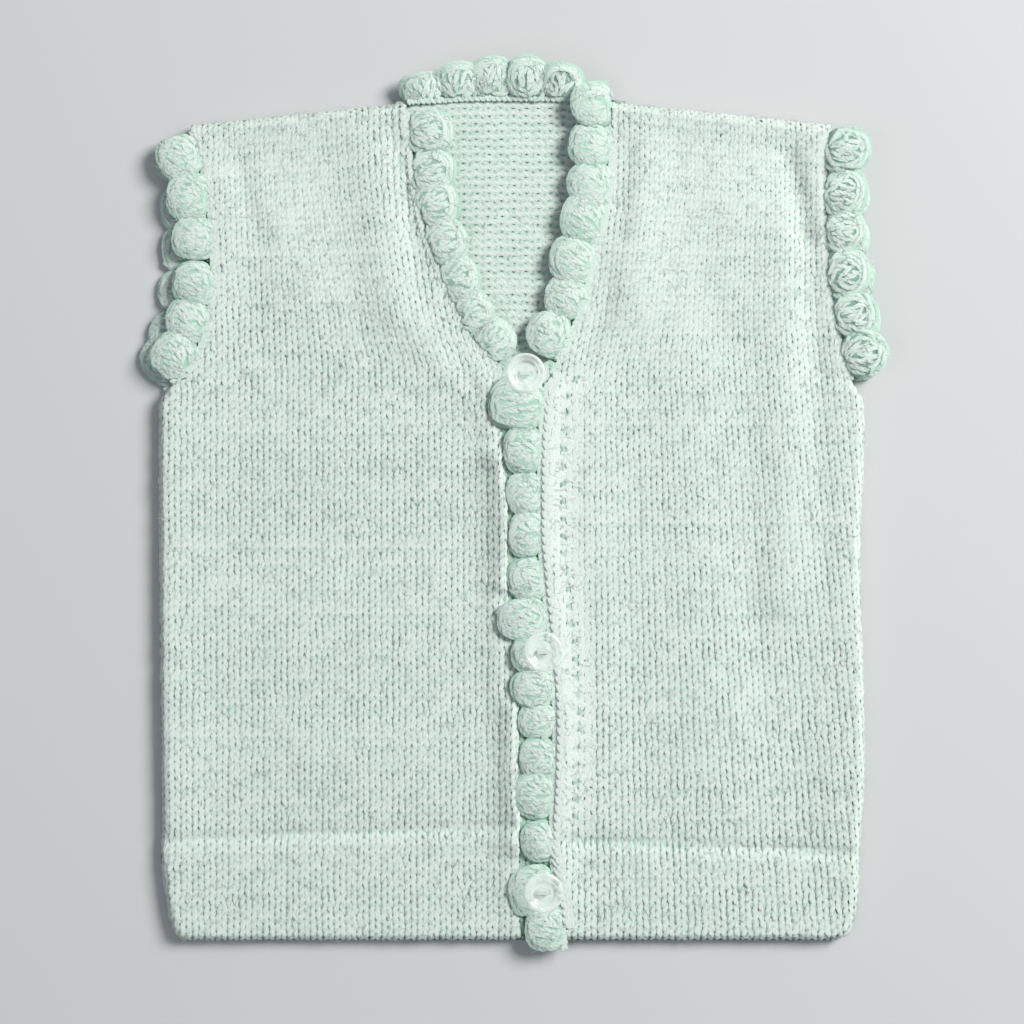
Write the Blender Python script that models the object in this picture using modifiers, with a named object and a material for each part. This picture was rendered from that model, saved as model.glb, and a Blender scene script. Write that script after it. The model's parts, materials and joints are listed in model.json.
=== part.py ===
"""Baby's knitted V-neck vest with crochet shell edgings and three clear buttons.

The vest lies flat on its back with its fronts closed. The frame has +X to the picture's right, +Y
from the hem to the neck and +Z up, and the surface that the vest lies on is z = 0. Wearer's right
is at -X. All tables and sizes are in millimetres, and meshes are made in metres.
"""

import math

import bmesh
import bpy
import numpy as np

MM = 0.001

# Cloth and how it lies
CLOTH = 1.8              # thickness of the stocking stitch wall
SEAM_GAP = 0.3           # between pieces that are sewn together or lie on each other
ROLL = 2.6               # outer radius where a panel rounds over into a seam or a hem fold
BACK_SEAM_Z = ROLL       # the back's edges curl up to here
FRONT_SEAM_Z = BACK_SEAM_Z + SEAM_GAP
REST_Z = 2 * CLOTH + SEAM_GAP        # a front's top face where it lies on the back
SIDE_PUFF = FRONT_SEAM_Z + ROLL - REST_Z   # a front stands this much higher at a side or shoulder seam
SIDE_PUFF_WIDTH = 13.0
SHOULDER_PUFF_WIDTH = 9.0
OPENING_PUFF_WIDTH = 6.5
ARMHOLE_PUFF_WIDTH = 8.0
HEM_Y = -137.2           # lowest point of the turned hem
NECK_POINT_Y = 124.6     # where a shoulder seam meets the neck
SHOULDER_SLOPE = 0.102   # fall of a shoulder seam for each millimetre outwards
NECK_POINT_X = 33.0
SHOULDER_SLOPE_FROM = 50.0           # the rows begin to slope above this y
BACK_NECK_RISE = 1.4     # the back's neck edge stands above the neck points
BACK_NECK_FLAT = 12.0    # half the width of its straight middle
HEM_STEP = 1.0           # the double hem stands this much higher than the cloth above it
# The turned hem's depth at a front's side, and how much more it is at the opening edge
RIGHT_HEM_DEPTH = (30.5, 4.4)
LEFT_HEM_DEPTH = (26.7, 3.8)
HEM_LINE_BLEND = 1.5
UNDERARM_Y = 34.5        # top of the side seams
UNDERARM_BLEND = (-1.0, 7.0)         # the rolled side opens out into the armhole over this stretch
BACK_ARMHOLE_BLEND = (36.5, 58.0, 98.0)    # where the back's armhole edge leaves and rejoins the front's
ARMHOLE_LIFT = 1.1       # a front's armhole edge stands this much higher
BACK_ARMHOLE_OUT = 4.6   # the back's armhole edge shows this far outside the front's
ROLL_TURNS = np.radians([0.0, 30.0, 60.0, 90.0])    # the sections of a rounded edge
ROLL_IN = 1 - np.cos(ROLL_TURNS)     # share of the radius inwards from the rim
ROLL_UP = np.sin(ROLL_TURNS)         # share of the full height above the rim
# Rows of the panels from the hem up: each stretch ends at y and has that many rows
ROW_STOPS = [(-101.0, 6), (28.0, 11), (62.0, 8), (NECK_POINT_Y - ROLL, 7)]
FRONT_COLUMNS = 12       # across a front, between its rounded edges
BACK_COLUMNS = 8
BAND_ROWS = 27
BAND_COLUMNS = 3

# Edges of the fronts: y of a row, then x of the edge there
RIGHT_SIDE = [
    (-137.2, -103.6), (-134.5, -106.2), (-124.5, -108.6), (-107.5, -110.4), (-103.0, -109.8),
    (-62.0, -110.4), (0.0, -110.8), (30.0, -110.9), (36.5, -107.0), (42.0, -100.4), (54.8, -95.3),
    (70.2, -93.3), (90.5, -94.3), (112.0, -98.6), (118.0, -101.1),
]
RIGHT_OPENING = [
    (-137.2, 1.7), (-118.0, 1.2), (-106.7, 2.0), (-98.9, 3.0), (-92.0, 2.0), (-63.0, 1.9),
    (-55.8, 0.6), (-43.0, -0.7), (-34.5, -1.8), (-20.5, -1.4), (-3.0, -1.2), (8.9, -2.3),
    (22.3, -4.0), (33.0, -4.8), (40.5, -5.0), (45.5, -8.6), (50.5, -13.6), (68.0, -22.2),
    (85.2, -28.9), (104.0, -32.5), (125.0, -33.9),
]
LEFT_SIDE = [
    (-137.2, 101.5), (-134.0, 105.2), (-124.5, 107.7), (-108.9, 108.3), (-84.0, 109.8),
    (-62.0, 109.6), (-15.0, 108.4), (16.0, 109.6), (31.0, 109.5), (37.0, 106.0), (43.0, 103.0),
    (50.5, 101.2), (63.0, 98.6), (78.0, 97.2), (94.0, 96.5), (112.0, 96.9), (118.6, 98.9),
]
LEFT_OPENING = [
    (-137.2, 16.4), (-124.5, 15.2), (-112.0, 12.8), (-106.7, 12.2), (-91.7, 13.0), (-70.0, 13.6),
    (-46.4, 12.2), (-23.0, 9.8), (-8.9, 8.8), (9.8, 8.8), (31.7, 9.9), (39.8, 12.0), (48.6, 16.4),
    (58.9, 21.4), (71.1, 24.6), (83.3, 27.2), (99.5, 30.9), (125.0, 31.3),
]

# How far each front's opening edge stands up as a soft roll: y, then 0 (flat) to 1 (full roll)
ROLL_TOP = 2.6           # rise of the cloth's top face at a full roll
RIGHT_OPENING_ROLL = [
    (-137.2, 0.0), (-113.0, 0.0), (-105.0, 1.0), (-66.0, 1.0), (-58.0, 0.0), (-30.5, 0.0),
    (-25.0, 1.0), (12.0, 1.0), (19.0, 0.0), (125.0, 0.0),
]
LEFT_OPENING_ROLL = [
    (-137.2, 0.3), (-110.0, 0.8), (-95.0, 1.0), (0.0, 1.0), (32.0, 0.8), (42.0, 0.0), (125.0, 0.0),
]

# Soft folds in the fronts: a ridge along a line from (x0, y0) to (x1, y1)
FOLD_COLUMNS = ("x0", "y0", "x1", "y1", "width", "height")
RIGHT_FOLDS = [
    (-92.0, 10.0, -30.0, 22.0, 16.0, 0.6),
    (-88.0, -38.0, -25.0, -30.0, 18.0, 0.5),
    (-60.0, -78.0, -15.0, -84.0, 15.0, 0.5),
    (-46.0, 114.0, -38.0, 62.0, 8.0, 1.1),
    (-84.0, 96.0, -62.0, 60.0, 12.0, 0.7),
    (-34.0, 56.0, -12.0, 34.0, 8.0, 0.9),
]
LEFT_FOLDS = [
    (22.0, 30.0, 26.0, -96.0, 10.0, 1.0),
    (84.0, 84.0, 86.0, -30.0, 9.0, 1.3),
    (56.0, 40.0, 62.0, -84.0, 15.0, 0.8),
    (101.0, 26.0, 102.0, -96.0, 6.0, 0.7),
    (40.0, 112.0, 37.0, 66.0, 8.0, 1.0),
    (66.0, 104.0, 68.0, 66.0, 12.0, 0.6),
]

# Shell edgings
SHELL_ROOT_WIDTH = 3.6   # the plain crochet row that the shells stand on
SHELL_EDGE_GAP = 0.45    # from the cloth's edge to the crochet
SHELL_HALF_MIN = 0.75    # half the edging's thickness between two shells
SHELL_HALF_MAX = 1.35    # and at a shell's middle
SHELL_FULLNESS = 0.55    # how square a shell's outline is: 1 is a sine, 0 a box
SHELL_STATIONS = 6       # sections along one shell
SHELL_SECTION_FULLNESS = 0.8         # how square a section is, in the same way
PATH_POINTS = 200        # places where an edging's root is worked out
ROOT_POINTS = 40         # points taken along a panel's edge
RUN_STEP = 6.0           # an edging's direction is measured over this length each way
SHELL_SIDES = 6          # points round a section

# Front edging, a row for each shell from the top: y of its middle, how far it reaches, and its
# middle's height above the surface
FRONT_SHELL_COLUMNS = ("y", "reach", "z")
FRONT_SHELLS = [
    (30.0, 15.4, 5.9),
    (15.2, 10.4, 5.6),
    (2.8, 9.1, 5.4),
    (-10.2, 9.0, 5.4),
    (-24.0, 10.0, 5.4),
    (-36.4, 14.2, 5.7),
    (-46.8, 11.6, 5.7),
    (-57.2, 12.6, 5.7),
    (-68.4, 10.4, 5.4),
    (-79.4, 10.3, 5.4),
    (-92.0, 10.0, 5.4),
    (-105.4, 8.8, 5.5),
    (-119.4, 13.4, 5.8),
    (-133.4, 10.4, 5.8),
]
FRONT_EDGING_TOP = 37.0
FRONT_EDGING_BOTTOM = -139.6
BAND_REST_Z = CLOTH + SEAM_GAP       # the button band's underside lies on the back
BAND_BOTTOM = HEM_Y + 3.0            # just above the back's turned hem
BAND_TOP = 41.0

# Neck and armhole edgings, a row for each: the y at which it starts and ends along its edge, its
# middle's height above the surface, how many degrees it tilts up at its start and end, its number
# of shells, and how far they reach at its start, middle and end
EDGING_COLUMNS = ("start", "end", "z", "tilt_start", "tilt_end", "shells", "reach", "mid", "last")
NECK_RIGHT_EDGING = (121.5, 42.5, 3.8, 14.0, 4.0, 7, 13.4, 11.4, 9.6)
NECK_LEFT_EDGING = (121.0, 44.0, 3.8, 12.0, 4.0, 7, 14.0, 12.6, 11.0)
RIGHT_ARMHOLE_FRONT = (116.0, 37.0, 4.5, 4.0, 4.0, 6, 13.6, 12.6, 13.4)
RIGHT_ARMHOLE_BACK = (113.0, 34.5, 1.65, 0.0, 0.0, 6, 11.4, 12.0, 15.5)
LEFT_ARMHOLE_FRONT = (116.5, 38.0, 4.5, 26.0, 26.0, 6, 15.6, 13.2, 15.0)
LEFT_ARMHOLE_BACK = (113.0, 38.5, 1.65, 0.0, 0.0, 6, 9.0, 9.4, 11.0)
# The left neck edging turns the corner on to the back neck: extra root points above its start
NECK_LEFT_CORNER = [(29.6, 130.2, 5.0), (30.9, 127.6, 4.8), (31.0, 125.2, 4.4)]
# Back neck edging: root points from the right shoulder to the left one, and a reach for each shell
BACK_NECK_ROOT = [
    (-33.0, 124.9, 4.2), (-30.6, 125.4, 3.5), (-24.0, 125.7, 3.0), (-12.0, 126.4, 3.0),
    (8.0, 126.4, 3.0), (19.6, 126.0, 3.0),
]
BACK_NECK_REACHES = [8.6, 12.2, 13.4, 14.6, 12.0]
BACK_NECK_TILTS = [(0.0, 18.0), (0.5, 24.0), (1.0, 38.0)]     # share of its length, degrees

# Buttons
BUTTON_DIAMETER = 12.5
BUTTON_THICKNESS = 2.6
BUTTON_DISH_DIAMETER = 8.4
BUTTON_DISH_DEPTH = 0.9
BUTTON_DISH_SLOPE = 1.2  # width of the dish's sloping side
BUTTON_HOLE_SEGMENTS = 12
BUTTON_EDGE_TURNS = np.radians([90.0, 60.0, 30.0, 0.0])
BUTTON_EDGE_RADIUS = 0.7
BUTTON_HOLE_DIAMETER = 1.6
BUTTON_HOLE_SPACING = 3.4
BUTTON_SEGMENTS = 28
BUTTON_COLUMNS = ("x", "y", "z", "tilt")
BUTTONS = {
    "button_top": (3.6, 39.8, 7.7, 3.0),
    "button_middle": (9.2, -46.7, 7.3, 2.0),
    "button_bottom": (9.2, -121.4, 7.5, 2.5),
}

YARN_COLOUR = (0.66, 0.84, 0.75, 1.0)
YARN_ROUGHNESS = 0.95
BUTTON_COLOUR = (0.93, 0.95, 0.95, 1.0)
BUTTON_ROUGHNESS = 0.08
BUTTON_ALPHA = 0.4


def clear_scene():
    """Start from an empty scene."""
    for old in list(bpy.data.objects):
        bpy.data.objects.remove(old, do_unlink=True)


def new_collection(name):
    """A collection linked to the scene."""
    made = bpy.data.collections.new(name)
    bpy.context.scene.collection.children.link(made)
    return made


def make_material(name, colour, roughness, alpha=1.0):
    """A Principled material with one colour."""
    made = bpy.data.materials.new(name)
    made.use_nodes = True
    shader = made.node_tree.nodes["Principled BSDF"]
    shader.inputs["Base Color"].default_value = colour
    shader.inputs["Roughness"].default_value = roughness
    shader.inputs["Metallic"].default_value = 0.0
    shader.inputs["Alpha"].default_value = alpha
    return made


def read(table, at, column=1):
    """A column of a table at the given first-column values, on a smooth curve through its rows."""
    rows = np.array(table, float)
    rows = rows[np.argsort(rows[:, 0])]
    known, value = rows[:, 0], rows[:, column]
    steps = np.diff(value) / np.diff(known)
    product = steps[:-1] * steps[1:]
    slope = np.zeros(len(known))
    slope[1:-1] = np.where(product > 0, 2 * product / (steps[:-1] + steps[1:] + 1e-12), 0.0)
    slope[0], slope[-1] = steps[0], steps[-1]
    at = np.clip(np.asarray(at, float), known[0], known[-1])
    k = np.clip(np.searchsorted(known, at) - 1, 0, len(known) - 2)
    span = known[k + 1] - known[k]
    t = (at - known[k]) / span
    return (
        (2 * t**3 - 3 * t**2 + 1) * value[k]
        + (t**3 - 2 * t**2 + t) * span * slope[k]
        + (3 * t**2 - 2 * t**3) * value[k + 1]
        + (t**3 - t**2) * span * slope[k + 1]
    )


def step(at, start, end):
    """A smooth step from 0 at start to 1 at end."""
    t = np.clip((at - start) / (end - start), 0.0, 1.0)
    return t * t * (3 - 2 * t)


def folds(table, x, y):
    """Height of the soft ridges at (x, y): each is a bell across its line, fading past its ends."""
    total = np.zeros(np.broadcast(x, y).shape)
    for row in table:
        fold = dict(zip(FOLD_COLUMNS, row))
        along_x = fold["x1"] - fold["x0"]
        along_y = fold["y1"] - fold["y0"]
        length = math.hypot(along_x, along_y)
        s = ((x - fold["x0"]) * along_x + (y - fold["y0"]) * along_y) / length
        off = ((x - fold["x0"]) * along_y - (y - fold["y0"]) * along_x) / length
        past = np.maximum(0.0, np.maximum(-s, s - length))
        total += fold["height"] * np.exp(-(off**2 + past**2) / fold["width"] ** 2)
    return total


def shoulder_drop(x, row_y):
    """How far a row is lowered at x, so that the top rows slope down to the armholes."""
    share = step(row_y, SHOULDER_SLOPE_FROM, NECK_POINT_Y)
    return SHOULDER_SLOPE * np.maximum(np.abs(x) - NECK_POINT_X, 0.0) * share


def side_sewn(y):
    """1 along the side seams, 0 in the armholes."""
    return 1 - step(y, UNDERARM_Y + UNDERARM_BLEND[0], UNDERARM_Y + UNDERARM_BLEND[1])


def row_heights():
    """y of each row of a panel, closer together at the hem, the underarms and the shoulders."""
    rows = [HEM_Y + ROLL * ROLL_IN[:-1]]
    start = HEM_Y + ROLL
    for end, count in ROW_STOPS:
        rows.append(np.linspace(start, end, count, endpoint=False))
        start = end
    rows.append(NECK_POINT_Y - ROLL * ROLL_IN[::-1])
    return np.concatenate(rows)


def edge_rounding(count):
    """Share of its full height that each row or column of a rounded border has, from edge inwards."""
    share = np.ones(count)
    share[: len(ROLL_UP)] = ROLL_UP
    return share


def rim_inset(count):
    """How far inside the outer face's rows or columns the inner face's lie, from edge inwards."""
    inset = np.zeros(count)
    inset[: len(ROLL_IN)] = CLOTH * (1 - ROLL_IN)
    return inset


def column_places(left, right, columns_between):
    """x of each column from left to right of a panel, closer where its two edges round over."""
    curl = ROLL * ROLL_IN
    t = np.linspace(0.0, 1.0, columns_between + 1)[1:-1]
    left = left[:, None]
    right = right[:, None]
    middle = (left + ROLL) + ((right - ROLL) - (left + ROLL)) * t
    return np.hstack([left + curl, middle, right - curl[::-1]])


def inner_face(outer, heights, left_roll, right_roll):
    """The inner face of a wall: heights above each point, moved in from the rims that round over."""
    count_y, count_x, _ = outer.shape
    inner = outer.copy()
    across = rim_inset(count_x)[None, :]
    inner[:, :, 0] += left_roll * across - right_roll * across[:, ::-1]
    along = rim_inset(count_y)[:, None]
    inner[:, :, 1] += along - along[::-1]
    inner[:, :, 2] = heights
    return inner


def wall_object(name, upper, lower, collection, material):
    """A closed cloth wall: an upper and a lower face through grids of points, joined by a rim."""
    rows, columns, _ = upper.shape
    mesh = bpy.data.meshes.new(name)
    made = bpy.data.objects.new(name, mesh)
    collection.objects.link(made)
    wall = bmesh.new()
    top, bottom = (
        [[wall.verts.new(point * MM) for point in row] for row in side] for side in (upper, lower)
    )
    for i in range(rows - 1):
        for j in range(columns - 1):
            wall.faces.new((top[i][j], top[i][j + 1], top[i + 1][j + 1], top[i + 1][j]))
            wall.faces.new((bottom[i][j], bottom[i + 1][j], bottom[i + 1][j + 1], bottom[i][j + 1]))
    above, below = (
        grid[0]
        + [row[-1] for row in grid[1:]]
        + grid[-1][-2::-1]
        + [row[0] for row in grid[-2:0:-1]]
        for grid in (top, bottom)
    )
    for k in range(len(above)):
        n = (k + 1) % len(above)
        wall.faces.new((below[k], below[n], above[n], above[k]))
    wall.to_mesh(mesh)
    wall.free()
    mesh.materials.append(material)
    mesh.shade_smooth()
    return made


def front_panel(name, side, opening, opening_roll, fold_table, hem_depth, is_right, look):
    """A front: its top face from hem to shoulder, rounded over at the side, hem and shoulder."""
    row_y = row_heights()
    side_x = read(side, row_y - shoulder_drop(read(side, row_y), row_y))
    opening_x = read(opening, row_y)
    left, right = (side_x, opening_x) if is_right else (opening_x, side_x)
    x = column_places(left, right, FRONT_COLUMNS)
    y = row_y[:, None] - shoulder_drop(x, row_y[:, None])

    rolled = np.clip(read(opening_roll, row_y), 0.0, 1.0)[:, None]
    sewn = side_sewn(y)
    from_side = np.abs(x - side_x[:, None])
    from_opening = np.abs(x - opening_x[:, None])
    from_shoulder = NECK_POINT_Y - row_y[:, None]
    hem_line = HEM_Y + hem_depth[0] + hem_depth[1] * from_side / (from_side + from_opening)
    puff = np.maximum(
        sewn * np.exp(-((from_side / SIDE_PUFF_WIDTH) ** 2)),
        np.exp(-((from_shoulder / SHOULDER_PUFF_WIDTH) ** 2)),
    )
    top = REST_Z + SIDE_PUFF * puff + folds(fold_table, x, y) * (1 - puff)
    top += HEM_STEP * step(hem_line - y, -HEM_LINE_BLEND, HEM_LINE_BLEND) * (1 - puff)
    armhole = (1 - sewn) * np.exp(-((from_side / ARMHOLE_PUFF_WIDTH) ** 2))
    top += ARMHOLE_LIFT * armhole * (1 - puff)
    top += ROLL_TOP * rolled * np.exp(-((from_opening / OPENING_PUFF_WIDTH) ** 2))

    count_y, count_x = x.shape
    hem_round = edge_rounding(count_y)[:, None]
    shoulder_round = edge_rounding(count_y)[::-1, None]
    side_round = edge_rounding(count_x)[None, :] if is_right else edge_rounding(count_x)[None, ::-1]
    opening_round = edge_rounding(count_x)[None, ::-1] if is_right else edge_rounding(count_x)[None, :]
    full = hem_round * shoulder_round
    full = full * (1 - sewn * (1 - side_round)) * (1 - rolled * (1 - opening_round))
    outer = np.dstack([x, y, FRONT_SEAM_Z + (top - FRONT_SEAM_Z) * full])
    under = FRONT_SEAM_Z + (top - CLOTH - FRONT_SEAM_Z) * full
    rolls = (sewn, rolled) if is_right else (rolled, sewn)
    inner = inner_face(outer, under, *rolls)
    wall_object(name, outer, inner, look["collection"], look["yarn"])
    return outer


def back_outline(row_y):
    """x of the back's two edges: the fronts' side seams, and a little outside their armholes."""
    out = []
    for side, sign in ((RIGHT_SIDE, -1.0), (LEFT_SIDE, 1.0)):
        edge = read(side, row_y - shoulder_drop(read(side, row_y), row_y))
        leave, away, rejoin = BACK_ARMHOLE_BLEND
        open_edge = step(row_y, leave, away) * (1 - step(row_y, rejoin, NECK_POINT_Y))
        out.append(edge + sign * BACK_ARMHOLE_OUT * open_edge)
    return out


def back_panel(name, look):
    """The back: its underside lies flat, and its edges curl up to the side and shoulder seams."""
    row_y = row_heights()
    left, right = back_outline(row_y)
    x = column_places(left, right, BACK_COLUMNS)
    y = row_y[:, None] - shoulder_drop(x, row_y[:, None])
    middle = 1 - step(np.abs(x), BACK_NECK_FLAT, NECK_POINT_X)
    y += BACK_NECK_RISE * step(row_y[:, None], SHOULDER_SLOPE_FROM, NECK_POINT_Y) * middle
    sewn = side_sewn(y)
    count_y, count_x = x.shape
    side_round = np.minimum(edge_rounding(count_x), edge_rounding(count_x)[::-1])[None, :]
    end_round = np.minimum(edge_rounding(count_y), edge_rounding(count_y)[::-1])[:, None]
    full = end_round * (1 - sewn * (1 - side_round))
    outer = np.dstack([x, y, BACK_SEAM_Z * (1 - full)])
    inner = inner_face(outer, BACK_SEAM_Z - (BACK_SEAM_Z - CLOTH) * full, sewn, sewn)
    wall_object(name, inner, outer, look["collection"], look["yarn"])
    return outer


def button_band(name, right_edge, left_edge, look):
    """The plain crochet strip that carries the buttons, between the two opening edges."""
    row_y = np.linspace(BAND_BOTTOM, BAND_TOP, BAND_ROWS)
    start = np.interp(row_y, right_edge[:, 1], right_edge[:, 0]) + SHELL_EDGE_GAP
    end = np.interp(row_y, left_edge[:, 1], left_edge[:, 0]) - SHELL_EDGE_GAP
    t = np.linspace(0.0, 1.0, BAND_COLUMNS + 1)[None, :]
    x = start[:, None] + (end - start)[:, None] * t
    y = np.broadcast_to(row_y[:, None], x.shape)
    top = np.dstack([x, y, np.full(x.shape, BAND_REST_Z + CLOTH)])
    under = np.dstack([x, y, np.full(x.shape, BAND_REST_Z)])
    wall_object(name, top, under, look["collection"], look["yarn"])


def path_along(points):
    """A smooth curve through root points, as positions and its length so far."""
    points = np.array(points, float)
    chord = np.concatenate([[0.0], np.cumsum(np.linalg.norm(np.diff(points, axis=0), axis=1))])
    fine = np.linspace(0.0, chord[-1], PATH_POINTS)
    curve = np.stack([read(np.column_stack([chord, points[:, k]]), fine) for k in range(3)], axis=1)
    length = np.concatenate([[0.0], np.cumsum(np.linalg.norm(np.diff(curve, axis=0), axis=1))])
    return curve, length


def shell_edging(name, root, turn_to, tilts, bounds, reaches, look):
    """A strip of crochet shells: lens-shaped sections along root, wide in each shell's middle.

    root is a list of (x, y, z) along the cloth's edge, turn_to is +1 where the shells stand to the
    left of it and -1 to the right, tilts are (share of length, degrees up), bounds are the lengths
    at which shells begin and end, or a number of equal shells.
    """
    curve, length = path_along(root)
    if isinstance(bounds, int):
        bounds = np.linspace(0.0, length[-1], bounds + 1)
    share = np.linspace(0.0, 1.0, SHELL_STATIONS, endpoint=False)
    along, full, reach = [], [], []
    for k in range(len(bounds) - 1):
        along.extend(bounds[k] + (bounds[k + 1] - bounds[k]) * share)
        full.extend(np.sin(math.pi * share) ** SHELL_FULLNESS)
        reach.extend([reaches[k]] * SHELL_STATIONS)
    along = np.append(along, bounds[-1])
    full = np.append(full, 0.0)
    reach = np.append(reach, reaches[-1])
    place = np.stack([np.interp(along, length, curve[:, k]) for k in range(3)], axis=1)
    ahead = np.stack([np.interp(along + RUN_STEP, length, curve[:, k]) for k in range(3)], axis=1)
    behind = np.stack([np.interp(along - RUN_STEP, length, curve[:, k]) for k in range(3)], axis=1)
    run = ahead - behind
    run[:, 2] = 0.0
    run /= np.linalg.norm(run, axis=1)[:, None]
    out = turn_to * np.stack([-run[:, 1], run[:, 0], np.zeros(len(run))], axis=1)
    tilt = np.radians(np.interp(along / length[-1], *np.array(tilts, float).T))[:, None]
    up = np.array([0.0, 0.0, 1.0])
    outward = out * np.cos(tilt) + up * np.sin(tilt)
    normal = up * np.cos(tilt) - out * np.sin(tilt)
    width = (SHELL_ROOT_WIDTH + (reach - SHELL_ROOT_WIDTH) * full)[:, None, None]
    half = (SHELL_HALF_MIN + (SHELL_HALF_MAX - SHELL_HALF_MIN) * full)[:, None, None]
    angle = np.linspace(0.0, 2 * math.pi, SHELL_SIDES, endpoint=False)
    across = (0.5 - 0.5 * np.cos(angle))[None, :, None]
    rise = np.sign(np.sin(angle)) * np.abs(np.sin(angle)) ** SHELL_SECTION_FULLNESS
    rings = (
        place[:, None, :]
        + outward[:, None, :] * width * across
        + normal[:, None, :] * half * rise[None, :, None]
    )
    return loft_object(name, rings, look["collection"], look["yarn"])


def loft_object(name, rings, collection, material):
    """A closed body through rings of points, capped at both ends."""
    count, sides, _ = rings.shape
    mesh = bpy.data.meshes.new(name)
    made = bpy.data.objects.new(name, mesh)
    collection.objects.link(made)
    body = bmesh.new()
    corners = [[body.verts.new(point * MM) for point in ring] for ring in rings]
    for k in range(count - 1):
        for j in range(sides):
            n = (j + 1) % sides
            body.faces.new((corners[k][j], corners[k][n], corners[k + 1][n], corners[k + 1][j]))
    body.faces.new(corners[0][::-1])
    body.faces.new(corners[-1])
    bmesh.ops.recalc_face_normals(body, faces=body.faces)
    body.to_mesh(mesh)
    body.free()
    mesh.materials.append(material)
    mesh.shade_smooth()
    return made


def edge_roots(edge, spec, outside):
    """Root points beside a panel's edge: the edge itself, moved outside by the sewing gap."""
    y = np.linspace(spec["start"], spec["end"], ROOT_POINTS)
    x = np.interp(y, edge[:, 1], edge[:, 0])
    run = np.stack([np.gradient(x), np.gradient(y)], axis=1)
    run /= np.linalg.norm(run, axis=1)[:, None]
    away = outside * SHELL_EDGE_GAP * np.stack([-run[:, 1], run[:, 0]], axis=1)
    return np.column_stack([x + away[:, 0], y + away[:, 1], np.full(len(y), spec["z"])])


def edging_along(name, edge, row, outside, look, corner=()):
    """An edging from its row of sizes, along the edge points of a panel."""
    spec = dict(zip(EDGING_COLUMNS, row))
    root = np.vstack([np.array(corner).reshape(-1, 3), edge_roots(edge, spec, outside)])
    tilts = [(0.0, spec["tilt_start"]), (1.0, spec["tilt_end"])]
    reaches = np.interp(
        np.linspace(0.0, 1.0, spec["shells"]),
        (0.0, 0.5, 1.0),
        (spec["reach"], spec["mid"], spec["last"]),
    )
    return shell_edging(name, root, outside, tilts, spec["shells"], reaches, look)


def front_edging(name, edge, look):
    """The shells down the left front's opening edge, a row of FRONT_SHELLS for each."""
    shells = [dict(zip(FRONT_SHELL_COLUMNS, row)) for row in FRONT_SHELLS]
    middle = np.array([shell["y"] for shell in shells])
    ends = np.concatenate([[FRONT_EDGING_TOP], (middle[1:] + middle[:-1]) / 2, [FRONT_EDGING_BOTTOM]])
    z = np.interp(-ends, -middle, [shell["z"] for shell in shells])
    x = np.interp(ends, edge[:, 1], edge[:, 0]) - SHELL_EDGE_GAP
    root = np.column_stack([x, ends, z])
    curve, length = path_along(root)
    bounds = np.interp(-ends, -curve[:, 1], length)
    reaches = [shell["reach"] for shell in shells]
    return shell_edging(name, root, -1, [(0.0, 0.0), (1.0, 0.0)], bounds, reaches, look)


def make_edgings(back, right, left, look):
    """All the shell edgings. Each runs down its edge, with its shells to the left or the right."""
    front_edging("edging_front", left[:, 0], look)
    edging_along("edging_neck_right", right[:, -1], NECK_RIGHT_EDGING, 1, look)
    edging_along("edging_neck_left", left[:, 0], NECK_LEFT_EDGING, -1, look, NECK_LEFT_CORNER)
    shell_edging(
        "edging_neck_back", BACK_NECK_ROOT, 1, BACK_NECK_TILTS, len(BACK_NECK_REACHES),
        BACK_NECK_REACHES, look
    )
    edging_along("edging_armhole_right_front", right[:, 0], RIGHT_ARMHOLE_FRONT, -1, look)
    edging_along("edging_armhole_right_back", back[:, 0], RIGHT_ARMHOLE_BACK, -1, look)
    edging_along("edging_armhole_left_front", left[:, -1], LEFT_ARMHOLE_FRONT, 1, look)
    edging_along("edging_armhole_left_back", back[:, -1], LEFT_ARMHOLE_BACK, 1, look)


def button_profile():
    """Half section of a button: a flat base, a rounded rim and a dished middle."""
    radius = BUTTON_DIAMETER / 2
    dish = BUTTON_DISH_DIAMETER / 2
    edge = BUTTON_EDGE_RADIUS
    top = BUTTON_THICKNESS
    floor = top - BUTTON_DISH_DEPTH
    rim = [(radius - edge + edge * math.cos(a), edge * math.sin(a)) for a in BUTTON_EDGE_TURNS]
    upper = [(x, top - edge + z) for x, z in rim]
    lower = [(x, edge - z) for x, z in rim[::-1]]
    hollow = [(0.0, floor), (dish - BUTTON_DISH_SLOPE, floor), (dish, top)]
    return hollow + upper + lower + [(0.0, 0.0)]


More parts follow.
